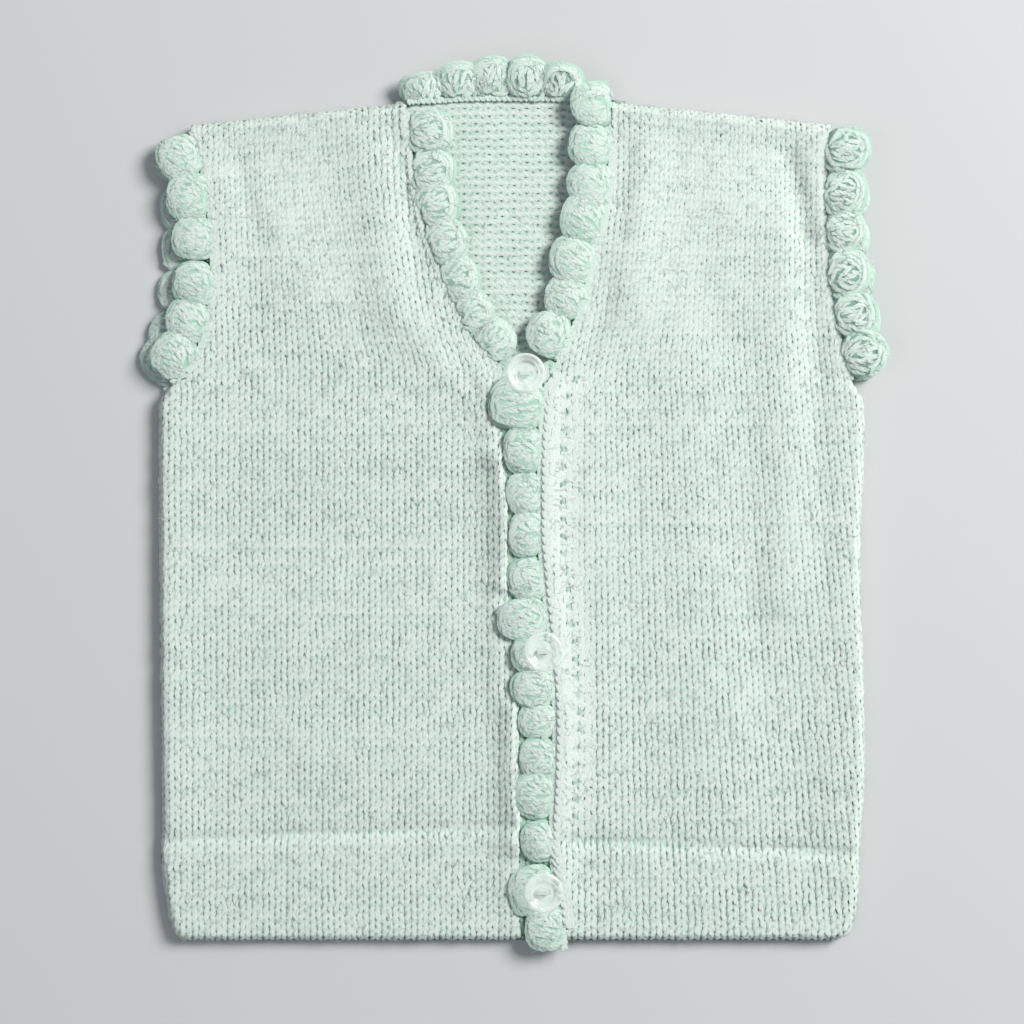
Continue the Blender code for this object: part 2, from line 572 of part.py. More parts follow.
def make_button(name, place, look, cutters):
    """A turned clear button with two sewing holes."""
    spot = dict(zip(BUTTON_COLUMNS, place))
    mesh = bpy.data.meshes.new(name)
    made = bpy.data.objects.new(name, mesh)
    look["collection"].objects.link(made)
    points = [(x * MM, 0.0, z * MM) for x, z in button_profile()]
    mesh.from_pydata(points, [(k, k + 1) for k in range(len(points) - 1)], [])
    mesh.materials.append(look["clear"])
    turned = made.modifiers.new("turned", "SCREW")
    turned.steps = BUTTON_SEGMENTS
    turned.render_steps = BUTTON_SEGMENTS
    turned.use_merge_vertices = True
    turned.merge_threshold = 0.00001
    made.location = (spot["x"] * MM, spot["y"] * MM, spot["z"] * MM)
    made.rotation_euler = (0.0, math.radians(spot["tilt"]), 0.0)
    for side in (-1, 1):
        bpy.ops.mesh.primitive_cylinder_add(
            vertices=BUTTON_HOLE_SEGMENTS,
            radius=BUTTON_HOLE_DIAMETER / 2 * MM,
            depth=4 * BUTTON_THICKNESS * MM,
            location=(side * BUTTON_HOLE_SPACING / 2 * MM, 0.0, 0.0),
        )
        drill = bpy.context.active_object
        drill.name = f"{name}_hole_{side}"
        drill.parent = made
        drill.hide_render = True
        drill.display_type = "WIRE"
        for owner in list(drill.users_collection):
            owner.objects.unlink(drill)
        cutters.objects.link(drill)
        hole = made.modifiers.new("hole", "BOOLEAN")
        hole.operation = "DIFFERENCE"
        hole.object = drill
    return made


def main():
    clear_scene()
    look = {
        "collection": new_collection("knit_vest"),
        "yarn": make_material("mint_yarn", YARN_COLOUR, YARN_ROUGHNESS),
        "clear": make_material("clear_button", BUTTON_COLOUR, BUTTON_ROUGHNESS, BUTTON_ALPHA),
    }
    cutters = new_collection("cutters")
    back = back_panel("back", look)
    right = front_panel(
        "front_right", RIGHT_SIDE, RIGHT_OPENING, RIGHT_OPENING_ROLL, RIGHT_FOLDS, RIGHT_HEM_DEPTH,
        True, look
    )
    left = front_panel(
        "front_left", LEFT_SIDE, LEFT_OPENING, LEFT_OPENING_ROLL, LEFT_FOLDS, LEFT_HEM_DEPTH,
        False, look
    )
    button_band("button_band", right[:, -1], left[:, 0], look)
    make_edgings(back, right, left, look)
    for name, place in BUTTONS.items():
        make_button(name, place, look, cutters)


main()
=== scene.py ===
"""The look of a baby's knitted vest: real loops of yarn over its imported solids, as a Blender add-on.

The vest lies on its back with its fronts buttoned. The frame has +X to the picture's right, +Y from
the hem to the neck and +Z up. Sizes and tables are in millimetres, and meshes are made in metres.
"Flat" coordinates are measured along the cloth, so they run on round a rounded edge to its seam.
"""

import json
import math

import bpy
import numpy as np
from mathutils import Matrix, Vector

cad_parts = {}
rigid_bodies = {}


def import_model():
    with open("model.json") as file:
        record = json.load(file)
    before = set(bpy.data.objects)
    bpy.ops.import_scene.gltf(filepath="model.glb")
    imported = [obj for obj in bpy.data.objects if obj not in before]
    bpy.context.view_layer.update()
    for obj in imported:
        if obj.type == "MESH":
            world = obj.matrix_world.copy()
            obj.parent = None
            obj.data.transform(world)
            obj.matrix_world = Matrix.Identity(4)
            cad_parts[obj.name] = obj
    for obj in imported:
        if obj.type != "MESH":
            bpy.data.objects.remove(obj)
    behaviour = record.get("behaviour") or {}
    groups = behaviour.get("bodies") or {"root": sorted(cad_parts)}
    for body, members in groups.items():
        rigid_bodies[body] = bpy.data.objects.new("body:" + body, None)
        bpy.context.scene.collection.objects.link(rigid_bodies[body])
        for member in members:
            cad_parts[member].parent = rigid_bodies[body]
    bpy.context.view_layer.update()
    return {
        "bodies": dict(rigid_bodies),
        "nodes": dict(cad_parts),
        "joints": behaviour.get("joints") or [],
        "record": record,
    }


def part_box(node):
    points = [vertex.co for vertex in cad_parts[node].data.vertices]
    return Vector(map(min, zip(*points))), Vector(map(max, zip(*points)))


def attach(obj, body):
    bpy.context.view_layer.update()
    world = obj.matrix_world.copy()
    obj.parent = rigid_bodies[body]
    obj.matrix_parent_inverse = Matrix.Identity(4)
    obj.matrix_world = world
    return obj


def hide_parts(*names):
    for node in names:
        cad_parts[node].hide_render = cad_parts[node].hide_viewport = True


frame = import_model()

bl_info = {
    "name": "Baby's knitted vest",
    "version": (1, 0, 0),
    "blender": (4, 5, 0),
    "location": "3D View > Sidebar > Vest",
    "description": "Stocking stitch cloth, crochet shell edgings and clear buttons for a baby's vest",
    "category": "Add Mesh",
}

MM = 0.001
BODY = "root"
UP = np.array([0.0, 0.0, 1.0])

# ---- Sizes of the cloth and how it lies, the same as those of the solids
CLOTH = 1.8              # thickness of the stocking stitch wall
SEAM_GAP = 0.3           # between pieces that are sewn together
ROLL = 2.6               # radius where a panel rounds over into a seam or a hem fold
SLACK = (math.pi / 2 - 1) * ROLL     # how much longer the cloth is than the quarter turn's width
BACK_SEAM_Z = ROLL
FRONT_SEAM_Z = BACK_SEAM_Z + SEAM_GAP
REST_Z = 2 * CLOTH + SEAM_GAP        # a front's top face where it lies on the back
SIDE_PUFF = FRONT_SEAM_Z + ROLL - REST_Z
SIDE_PUFF_WIDTH = 13.0
SHOULDER_PUFF_WIDTH = 9.0
OPENING_PUFF_WIDTH = 6.5
ARMHOLE_PUFF_WIDTH = 8.0
HEM_Y = -137.2
NECK_POINT_Y = 124.6
FLAT_LOW = HEM_Y - SLACK             # flat y of a panel's lowest and highest row
FLAT_HIGH = NECK_POINT_Y + SLACK
NECK_POINT_X = 33.0
SHOULDER_SLOPE = 0.102
SHOULDER_SLOPE_FROM = 50.0
BACK_NECK_RISE = 1.4
BACK_NECK_FLAT = 12.0
HEM_STEP = 1.0
HEM_LINE_BLEND = 1.5
HEM_LINE_DIP = 0.7       # the sewn hem line's depth
HEM_LINE_WIDTH = 2.2
UNDERARM_Y = 34.5
UNDERARM_BLEND = (-1.0, 7.0)
BACK_ARMHOLE_BLEND = (36.5, 58.0, 98.0)
BACK_ARMHOLE_OUT = 4.6
ARMHOLE_LIFT = 1.1
ROLL_TOP = 2.6

# Edges of the fronts: y of a row, then x of the edge there
RIGHT_SIDE = [
    (-137.2, -103.6), (-134.5, -106.2), (-124.5, -108.6), (-107.5, -110.4), (-103.0, -109.8),
    (-62.0, -110.4), (0.0, -110.8), (30.0, -110.9), (36.5, -107.0), (42.0, -100.4), (54.8, -95.3),
    (70.2, -93.3), (90.5, -94.3), (112.0, -98.6), (118.0, -101.1),
]
RIGHT_OPENING = [
    (-137.2, 1.7), (-118.0, 1.2), (-106.7, 2.0), (-98.9, 3.0), (-92.0, 2.0), (-63.0, 1.9),
    (-55.8, 0.6), (-43.0, -0.7), (-34.5, -1.8), (-20.5, -1.4), (-3.0, -1.2), (8.9, -2.3),
    (22.3, -4.0), (33.0, -4.8), (40.5, -5.0), (45.5, -8.6), (50.5, -13.6), (68.0, -22.2),
    (85.2, -28.9), (104.0, -32.5), (125.0, -33.9),
]
LEFT_SIDE = [
    (-137.2, 101.5), (-134.0, 105.2), (-124.5, 107.7), (-108.9, 108.3), (-84.0, 109.8),
    (-62.0, 109.6), (-15.0, 108.4), (16.0, 109.6), (31.0, 109.5), (37.0, 106.0), (43.0, 103.0),
    (50.5, 101.2), (63.0, 98.6), (78.0, 97.2), (94.0, 96.5), (112.0, 96.9), (118.6, 98.9),
]
LEFT_OPENING = [
    (-137.2, 16.4), (-124.5, 15.2), (-112.0, 12.8), (-106.7, 12.2), (-91.7, 13.0), (-70.0, 13.6),
    (-46.4, 12.2), (-23.0, 9.8), (-8.9, 8.8), (9.8, 8.8), (31.7, 9.9), (39.8, 12.0), (48.6, 16.4),
    (58.9, 21.4), (71.1, 24.6), (83.3, 27.2), (99.5, 30.9), (125.0, 31.3),
]
# How far each front's opening edge stands up as a soft roll: y, then 0 (flat) to 1 (full roll)
RIGHT_ROLL = [
    (-137.2, 0.0), (-113.0, 0.0), (-105.0, 1.0), (-66.0, 1.0), (-58.0, 0.0), (-30.5, 0.0),
    (-25.0, 1.0), (12.0, 1.0), (19.0, 0.0), (125.0, 0.0),
]
LEFT_ROLL = [
    (-137.2, 0.3), (-110.0, 0.8), (-95.0, 1.0), (0.0, 1.0), (32.0, 0.8), (42.0, 0.0), (125.0, 0.0),
]
# Soft folds of each front, and then the finer creases that the solids leave out: a ridge along a
# line from (x0, y0) to (x1, y1), or a trough where its height is below zero
FOLD_COLUMNS = ("x0", "y0", "x1", "y1", "width", "height")
RIGHT_FOLDS = [
    (-92.0, 10.0, -30.0, 22.0, 16.0, 0.6), (-88.0, -38.0, -25.0, -30.0, 18.0, 0.5),
    (-60.0, -78.0, -15.0, -84.0, 15.0, 0.5), (-46.0, 114.0, -38.0, 62.0, 8.0, 1.1),
    (-84.0, 96.0, -62.0, 60.0, 12.0, 0.7), (-34.0, 56.0, -12.0, 34.0, 8.0, 0.9),
    (-37.0, 116.0, -30.0, 74.0, 3.2, -0.55), (-86.0, 104.0, -80.0, 82.0, 3.6, -0.5),
    (-72.0, 40.0, -58.0, 52.0, 4.5, -0.3), (-20.0, 48.0, -9.0, 30.0, 3.0, -0.5),
    (-96.0, -66.0, -70.0, -60.0, 5.0, -0.3), (-50.0, -20.0, -18.0, -10.0, 5.5, -0.25),
    (-9.0, 36.0, -6.0, 14.0, 4.5, 0.9), (-5.0, -32.0, -4.0, -58.0, 4.5, 0.9),
    (-1.0, -112.0, 0.0, -130.0, 5.0, 0.6),
]
LEFT_FOLDS = [
    (22.0, 30.0, 26.0, -96.0, 10.0, 1.0), (84.0, 84.0, 86.0, -30.0, 9.0, 1.3),
    (56.0, 40.0, 62.0, -84.0, 15.0, 0.8), (101.0, 26.0, 102.0, -96.0, 6.0, 0.7),
    (40.0, 112.0, 37.0, 66.0, 8.0, 1.0), (66.0, 104.0, 68.0, 66.0, 12.0, 0.6),
    (86.0, 108.0, 91.5, 82.0, 3.6, -1.0), (91.5, 82.0, 96.5, 20.0, 4.6, -0.75),
    (97.0, 10.0, 101.0, -64.0, 4.2, -0.5), (36.0, 112.0, 33.0, 84.0, 3.0, -0.5),
    (30.0, 66.0, 23.0, 47.0, 3.4, -0.5), (60.0, 88.0, 64.0, 52.0, 5.5, -0.3),
    (74.0, -20.0, 78.0, -70.0, 5.0, -0.35),
]
# The two fronts. hem is the turned hem's depth at the side and how much more it is at the opening,
# inwards the direction from the side seam to the opening, and fan how far the wales near the side
# lean outwards for each millimetre down. border is true where the edge has a plump border
FRONT_COLUMNS = ("side", "opening", "roll", "folds", "hem", "inwards", "fan", "border")
FRONTS = {
    name: dict(zip(FRONT_COLUMNS, row))
    for name, row in {
        "front_right": (RIGHT_SIDE, RIGHT_OPENING, RIGHT_ROLL, RIGHT_FOLDS, (30.5, 4.4), 1.0, 0.0, False),
        "front_left": (LEFT_SIDE, LEFT_OPENING, LEFT_ROLL, LEFT_FOLDS, (26.7, 3.8), -1.0, 0.09, True),
    }.items()
}
# How the wales follow the neck edge: from this y up, by this share, over this width
NECK_LEAN_FROM = 40.0
NECK_LEAN_SHARE = 0.4
NECK_LEAN_WIDTH = 38.0
FAN_MIDDLE_Y = -40.0
FAN_TOP_Y = 60.0
FAN_WIDTH = 85.0
FAN_START = 20.0
FAN_MOST = 1.2

# ---- Stitches, in wales, rows or millimetres
STITCH_PHASES = (0.0, 0.12, 0.21, 0.29, 0.38, 0.5, 0.62, 0.71, 0.79, 0.88)
STITCH_SIDES = 4         # corners of the yarn's section, rounded by its shading
STITCH_FLATNESS = 0.68   # yarn's thickness as a share of its width
FUZZ_SPREAD = 0.88       # share of the cloth's own normal in the yarn's shading
STITCH_MIDDLE = 0.75     # how deep the middle of a loop lies below the cloth's top face
# How a loop lies: sway is how far its legs swing sideways and open how much wider apart they stand,
# in wales, reach is half its height, in rows, and depth is how far its legs stand in front of its
# head, or behind it where below zero
KNIT_LOOP = {"sway": 0.195, "open": 0.012, "reach": 0.88, "depth": 0.42}
PURL_LOOP = {"sway": 0.2, "open": 0.03, "reach": 0.62, "depth": -0.2}
PURL_SIZES = {"wale": 3.9, "row": 2.38, "yarn": 2.0}
# How unevenly it is knitted: a loop sideways, upwards and in depth, and a whole row
LOOSE = (0.055, 0.07, 0.07)
LOOSE_ROW = 0.025
LOOSE_YARN = (0.07, 0.04)            # a loop's and a row's yarn, as shares of its width
# The plump border beside the buttons: where it lies from the edge, its rows, and its line of holes
BORDER_REACH = (4.8, 12.4)
BORDER_ROWS = (-112.0, 44.0)
BORDER_ENDS = (20.0, 8.0)            # over which it fades at the bottom and the top
BORDER_BLEND = 1.6
BORDER_PLUMP = 0.12      # how much thicker its yarn is, as a share
BORDER_EVEN = 0.75       # how far its loops lie at one depth
BORDER_LIFT = 0.45
BORDER_GROOVE = (3.7, 0.6, -0.2)     # from the edge, half width and depth
BORDER_HOLES = (8.3, 5.47, 1.15, -1.6)      # from the edge, apart, half width and depth
BORDER_CHAINS = ((1.4, 0.15), (2.6, -0.1))  # chains that fill its turned edge: inset and height
BORDER_CHAIN_TOP = 40.0
BORDER_CHAIN_YARN = 1.25     # their yarn, as a share of the cloth's
BASE_TOP = 0.65          # how deep the ground cloth's top and under faces lie
BASE_UNDER = 1.7
BASE_PITCH = 3.0         # mesh size of the ground cloth
EDGE_INSET = (0.45, -0.85)           # an edge chain's inset and height
# Where edge chains start above the hem and above the underarm, and end below the shoulder
EDGE_CHAIN_LOW = 6.0
EDGE_CHAIN_UNDERARM = 3.0
EDGE_CHAIN_HIGH = 4.0
SELVEDGE_PITCH = 5.4     # length over which the edge chain's plies turn round each other
SELVEDGE_STEP = 0.8
SELVEDGE_PLIES = (0.24, 0.42, 0.05)  # a ply's swing and half breadth over the yarn's, and unevenness
CHAIN_SIDES = 6
FRONT_WALES = (-22, 22)              # wales either side of the middle, more than a panel holds
PURL_WALES = (-11, 11)
BAND_WALES = (-3, 7)
PURL_LOW = 24.0
PURL_HIGH = 0.6          # how far below the top the purl ends
PURL_LIFT = 0.35
PURL_TUCK = 3.0          # how far the purl runs on under the fronts
BACK_GROUND = 0.75       # how deep the back's ground lies below its inner face
BACK_THINNEST = 0.05     # its least thickness

# ---- Crochet edgings
SHELL_EDGE_GAP = 0.45
# Shells down the front: y of the middle, reach and z of the root
FRONT_SHELLS = [
    (30.0, 15.4, 5.9), (15.2, 10.4, 5.6), (2.8, 9.1, 5.4), (-10.2, 9.0, 5.4), (-24.0, 10.0, 5.4),
    (-36.4, 14.2, 5.7), (-46.8, 11.6, 5.7), (-57.2, 12.6, 5.7), (-68.4, 10.4, 5.4),
    (-79.4, 10.3, 5.4), (-92.0, 10.0, 5.4), (-105.4, 8.8, 5.5), (-119.4, 13.4, 5.8),
    (-133.4, 10.4, 5.8),
]
FRONT_EDGING_ENDS = (37.0, -139.6)
# The other edgings: the y where each starts and ends, its z, its tilts and its shells, with the
# first, middle and last one's reach. Then the panel that it is on, that panel's edge (0 or 1 on the
# back), which side of the edge it lies on, and root points round a corner before its start
EDGING_COLUMNS = (
    "start", "end", "z", "tilt_start", "tilt_end", "shells", "reach", "mid", "last", "of", "edge", "turn",
    "corner",
)
NECK_LEFT_CORNER = [(29.6, 130.2, 5.0), (30.9, 127.6, 4.8), (31.0, 125.2, 4.4)]
EDGINGS = {
    name: dict(zip(EDGING_COLUMNS, row))
    for name, row in {
        "edging_neck_right": (
            121.5, 42.5, 3.8, 14.0, 4.0, 7, 13.4, 11.4, 9.6, "front_right", "opening", 1, (),
        ),
        "edging_neck_left": (
            121.0, 44.0, 3.8, 12.0, 4.0, 7, 14.0, 12.6, 11.0, "front_left", "opening", -1,
            NECK_LEFT_CORNER,
        ),
        "edging_armhole_right_front": (
            116.0, 37.0, 4.5, 4.0, 4.0, 6, 13.6, 12.6, 13.4, "front_right", "side", -1, (),
        ),
        "edging_armhole_right_back": (
            113.0, 34.5, 1.65, 0.0, 0.0, 6, 11.4, 12.0, 15.5, "back", 0, -1, (),
        ),
        "edging_armhole_left_front": (
            116.5, 38.0, 4.5, 26.0, 26.0, 6, 15.6, 13.2, 15.0, "front_left", "side", 1, (),
        ),
        "edging_armhole_left_back": (113.0, 38.5, 1.65, 0.0, 0.0, 6, 9.0, 9.4, 11.0, "back", 1, 1, ()),
    }.items()
}
BACK_NECK_ROOT = [
    (-33.0, 124.9, 4.2), (-30.6, 125.4, 3.5), (-24.0, 125.7, 3.0), (-12.0, 126.4, 3.0),
    (8.0, 126.4, 3.0), (19.6, 126.0, 3.0),
]
BACK_NECK_REACHES = [8.6, 12.2, 13.4, 14.6, 12.0]
BACK_NECK_TILTS = [(0.0, 18.0), (0.5, 24.0), (1.0, 38.0)]
# Edgings whose shells are broader, or longer at the first or the last, or start past a bare root
CHANGE_COLUMNS = ("broader", "first_longer", "last_longer", "bare")
NO_CHANGE = (1.0, 1.0, 1.0, 0.0)
SHELL_CHANGES = {
    "edging_neck_back": (1.22, 1.0, 1.0, 0.0),
    "edging_front": (1.04, 1.13, 1.13, 0.0),
    "edging_neck_left": (1.06, 1.0, 1.22, 6.0),
    "edging_neck_right": (1.16, 1.1, 1.15, 0.0),
}
RUN_STEP = 6.0
PATH_POINTS = 400
ROOT_POINTS = 60
# A shell: places on it are polar, round its centre
SHELL_CENTRE = 0.45      # how far out its centre lies, as a share of its reach
SHELL_SPREAD = 0.55      # half its width, as a share of its length of edge
SHELL_FULLNESS = (0.84, 0.5)         # outer and root side: below 1 is squarer than an ellipse
# Its tufts: how many, the turn from each to the next, how far out the last lies, each one's length
# as a share of the shell's reach, how far its direction strays in radians, and how far out the
# tufts that fan from the root give way to tufts that lie round the rim
SHELL_TUFTS = 40
SHELL_TUFT_TURN = math.pi * (3 - math.sqrt(5))
SHELL_TUFT_OUT = 0.80
SHELL_TUFT_LENGTH = 0.31
SHELL_TUFT_STRAY = 0.25
SHELL_TUFT_FROM = 0.25    # how far behind the root they fan from, as a share of the reach
SHELL_TUFT_ROUND = (0.35, 0.65)
SHELL_TUFT_POINTS = 5
# How its tufts differ: in place and length as shares, and in bend, as a share of length, and height
SHELL_TUFT_OUTS = (0.93, 1.07)
SHELL_TUFT_LENGTHS = (0.75, 1.25)
SHELL_TUFT_BENDS = 0.08
SHELL_TUFT_HEIGHTS = 0.1
# Its tufts' height at the rim, how much higher they lie in the middle, and the dome's power: the
# higher it is, the flatter the middle
SHELL_LOW = 0.08
SHELL_PUFF = 0.75
SHELL_DOME = 2.5
SHELL_SINK = 1.2         # how strongly a strand sinks towards its ends
# The arcs of its rim: how far out each lies, and its height
SHELL_ARCS = ((0.90, 0.05), (0.80, 0.36), (0.66, 0.62))
SHELL_ARC_ENDS = (-38.0, 218.0)
SHELL_ARC_POINTS = 14
SHELL_ARC_FADE = (0.04, 0.96, 0.3)   # the part of a half sine wave that it fades by, and its power
# How its arcs differ: in angle, place and height, and how far they wave
SHELL_ARC_ANGLES = 0.1
SHELL_ARC_OUTS = 0.02
SHELL_ARC_HEIGHTS = 0.12
SHELL_ARC_WAVE = 0.03
SHELL_STRAND = 0.78      # half a strand's breadth
SHELL_STRANDS = 0.1      # how much strands differ in it, as a share
SHELL_TAPER = 0.72       # its ends' breadth as a share of its middle's
SHELL_FLATNESS = 0.9     # its thickness as a share of its breadth
SHELL_SHADE = -1.15      # added to a strand's height where its painted shade is read
SHELL_TURNED = 0.35      # how far its yarn's shading turns outwards at its rim
SHELL_UNEVEN = 0.06      # how much shells differ in size, and in direction as radians
SHELL_PLACE = (-0.35, 0.05)          # how far off its root's plane each lies
SHELL_PAD_GRID = (20, 5)
SHELL_PAD_OUT = (0.08, 0.93)         # how far out its pad's grid starts and ends
SHELL_PAD_HEIGHT = 0.98
SHELL_SIDES = 5
SLIP_STITCH = 3.4        # length of one slip stitch at the root
SLIP_POINTS = 6          # points along it
SLIP_SHARES = (0.3, 0.14, 0.46)      # of the yarn: its swing aside and up, and half its breadth
SLIP_Z = -0.35
SLIP_SHADE = -0.6        # the height that its painted shade is taken at
BAND_TUCK = 0.9          # how far the button band runs on under the two opening edges
BAND_PUFF = 0.7          # how far its yarn stands up between them
BAND_END = 5.0           # length of its closer upper end
BAND_GROUND = 0.9        # how deep its ground lies
BAND_GRID = 90           # rows of its ground
BAND_LOW = 1.5           # how far inside its lower end its stitches start
BAND_HIGH = 0.6          # how far past its upper end they stop

# ---- Loose fibres
FIBRE_RADIUS = 0.05
FIBRE_LENGTH = (1.2, 3.6)
FIBRE_POINTS = 3
FIBRE_SIDES = 3
FIBRE_RISE = (0.1, 0.55)             # twice its height over its length
FIBRE_TURN = 0.8                     # the part of a half sine wave that it rises and falls by
FIBRE_BEND = 0.35                    # how far it bends aside, over its length
FIBRE_BACK = 0.3                     # the share of it behind its point of the yarn
FIBRE_OFF = 0.55                     # its start's height off the yarn's middle
SHELL_FIBRES = 60        # on each shell
FRONT_FIBRES = 2600      # on each half of a front

# ---- Buttons, as the solids have them: their places, rounded edge, dish and two holes
BUTTON_COLUMNS = ("x", "y", "z", "tilt")
BUTTONS = {
    "button_top": (3.6, 39.8, 7.7, 3.0),
    "button_middle": (9.2, -46.7, 7.3, 2.0),
    "button_bottom": (9.2, -121.4, 7.5, 2.5),
}
BUTTON_THICKNESS = 2.6
BUTTON_EDGE = 0.8
BUTTON_DISH = 4.2
BUTTON_DISH_DEPTH = 0.9
BUTTON_FLOOR = BUTTON_THICKNESS - BUTTON_DISH_DEPTH
BUTTON_DISH_SLOPE = 1.3
BUTTON_LIP = 0.35        # the rim's height above the lip of the dish
BUTTON_HOLE = 0.8
BUTTON_HOLE_APART = 3.4
BUTTON_CAP = 0.3         # radius of the flat middle of its section
BUTTON_SIDES = 72
BUTTON_POINTS = 8        # on each smooth step of its section
BUTTON_LIP_SPAN = (0.12, 0.92)       # the shares of the step from lip to rim that hold them
BUTTON_EDGE_POINTS = 19
BUTTON_SHARP = 40.0      # degrees, past which an edge stays sharp
# The pin that drills a hole: its middle's radius, and its ends
PIN_MIDDLE = 0.01
PIN_TOP = BUTTON_THICKNESS + 1
PIN_LOW = -1.0
PIN_SIDES = 20
# The two threads through the holes. Each crosses the dish a little above its floor, and past a share
# of its half length it drops into the hole, by this much times a power of the rest
THREAD_RADIUS = 0.3
THREAD_POINTS = 17
THREAD_RISE = 0.32
THREAD_STRETCH = 1.6
THREAD_TURN = 0.62
THREAD_DROP = 3.4
THREAD_POWER = 0.9
# the height that the thread's painted shade is taken at
THREAD_SHADE = -0.3

# ---- Seeds: each kind of random draw counts up from its own
FRONT_SEEDS = 10         # how many each front's halves keep
SEEDS = {
    "stitches": 0, "fibres": 50, "opening chain": 90, "side chain": 94, "border chains": 97, "purl": 77,
    "band": 31, "shell yarn": 200, "shell fibres": 300, "shells": 400,
}

# ---- Painted shade on the yarn, and its plies and tufts
PAINTED_SHADE_LIFTS = (-1.0, 0.15)     # heights on the yarn where its painted shade is deepest and lightest
PLIES = 3
PLY_LENGTH = 1.9             # a ply comes round every so many millimetres of yarn
PLY_DEPTH = 0.2              # its depth as a share of the tufts'
TUFT = 0.5                   # tufts of fibre, drawn this far across so that they show

# ---- The stage. A lamp's share is of the key light's power
LAMP_COLUMNS = ("place", "breadth", "share", "colour")
LAMPS = {
    "window": ((1169.0, 731.0, 1204.0), 896.0, 1.0, "#FFFDF8"),
    "fill": ((-600.0, -200.0, 900.0), 900.0, 0.03, "#F4F8FF"),
}
SKY_COLOUR = "#E9EDF2"
SKY_STRENGTH = 0.3
FLOOR_HALF = 1500.0
CAMERA_X = -0.47
CAMERA_Y = -3.28
CAMERA_LENS = 85.0           # focal length and sensor's width
CAMERA_SENSOR = 36.0


def linear(hex_colour):
    """An sRGB hex colour as linear red, green, blue and alpha."""
    value = np.array([int(hex_colour[k : k + 2], 16) for k in (1, 3, 5)]) / 255
    value = np.where(value <= 0.04045, value / 12.92, ((value + 0.055) / 1.055) ** 2.4)
    return (*value.tolist(), 1.0)


# ---- Settings that a user would change
def length_setting(name, description, size):
    """A length, its default given in millimetres."""
    return bpy.props.FloatProperty(name=name, description=description, default=size * MM, unit="LENGTH")


def colour_setting(name, description, hex_colour):
    """A colour, its default given in sRGB."""
    return bpy.props.FloatVectorProperty(
        name=name, description=description, default=linear(hex_colour)[:3], subtype="COLOR",
    )


class VestClothSettings(bpy.types.PropertyGroup):
    """The knitted cloth and its yarn."""

    wale_width: length_setting("Stitch width", "Width of one column of stitches", 3.68)
    row_height: length_setting("Row height", "Height of one row of stitches", 2.56)
    yarn_width: length_setting("Yarn width", "Width of the yarn in the cloth", 1.62)
    yarn_light: colour_setting("Light yarn", "Colour of the yarn's outer fibres", "#D8E3DE")
    # Painted shade: a saturated green for the shade in the slits between the front's shells, on the button
    # band
    yarn_slit_painted_shade: colour_setting("Shaded yarn", "Colour in the slits between the front's shells", "#92C6AA")
    # Painted shade: the deep colour stands for the shade low in the cloth and in the ground seen through
    # its holes; random tufts take a little of it too
    yarn_mottle_and_painted_shade: colour_setting("Deep yarn", "Colour between the plies and in the ground cloth", "#A9C3B9")


class VestEdgingSettings(bpy.types.PropertyGroup):
    """The crochet shell edgings."""

    yarn_width: length_setting("Yarn width", "Width of the yarn in the crochet", 1.7)
    # Partly painted shade: the crochet is the cloth's yarn, set a little darker here so that the shells
    # come out shaded
    yarn_light: colour_setting("Light yarn", "Colour of the crochet's outer fibres", "#D1DFD9")
    # Painted shade: the deep colour stands for the shade between the shells' strands and on their pads
    yarn_mottle_and_painted_shade: colour_setting("Deep yarn", "Colour between the strands of the shells", "#A3C8B8")


class VestButtonSettings(bpy.types.PropertyGroup):
    """The clear buttons."""

    diameter: length_setting("Diameter", "Outer diameter of a button", 12.5)
    tint: colour_setting("Tint", "Colour of the clear resin", "#F6FCFA")


class VestStageSettings(bpy.types.PropertyGroup):
    """The floor, the lights and the camera."""

    floor_colour: colour_setting("Floor", "Colour of the paper that the vest lies on", "#C6C9CB")
    key_power: bpy.props.FloatProperty(
        name="Key light", description="Power of the soft window light", default=43.7, unit="POWER",
    )
    view_width: length_setting("View width", "Width that the picture shows at the cloth's top", 320.0)


class VestSettings(bpy.types.PropertyGroup):
    """All the vest's settings."""

    cloth: bpy.props.PointerProperty(type=VestClothSettings)
    edging: bpy.props.PointerProperty(type=VestEdgingSettings)
    button: bpy.props.PointerProperty(type=VestButtonSettings)
    stage: bpy.props.PointerProperty(type=VestStageSettings)


# ---- Curves and surfaces
def read(table, at, column=1):
    """A column of a table on a smooth curve through its rows that never overshoots them.

    A cubic runs between each two rows. Its slope at a row is the harmonic mean of the slopes on
    both sides, or level where they differ in sign.
    """
    rows = np.array(table, float)
    rows = rows[np.argsort(rows[:, 0])]
    known, value = rows[:, 0], rows[:, column]
    steps = np.diff(value) / np.diff(known)
    product = steps[:-1] * steps[1:]
    slope = np.zeros(len(known))
    slope[1:-1] = np.where(product > 0, 2 * product / (steps[:-1] + steps[1:] + 1e-12), 0.0)
    slope[0], slope[-1] = steps[0], steps[-1]
    at = np.clip(np.asarray(at, float), known[0], known[-1])
    k = np.clip(np.searchsorted(known, at) - 1, 0, len(known) - 2)
    span = known[k + 1] - known[k]
    t = (at - known[k]) / span
    ends = (2 * t**3 - 3 * t**2 + 1) * value[k] + (3 * t**2 - 2 * t**3) * value[k + 1]
    return ends + ((t**3 - 2 * t**2 + t) * slope[k] + (t**3 - t**2) * slope[k + 1]) * span


def step(at, start, end):
    """A smooth step from 0 at start to 1 at end."""
    t = np.clip((at - start) / (end - start), 0.0, 1.0)
    return t * t * (3 - 2 * t)


def bell(at, width):
    """A bell curve, 1 at 0."""
    return np.exp(-((at / width) ** 2))


def unit(vectors):
    """Vectors of length 1."""
    return vectors / np.maximum(np.linalg.norm(vectors, axis=-1, keepdims=True), 1e-9)


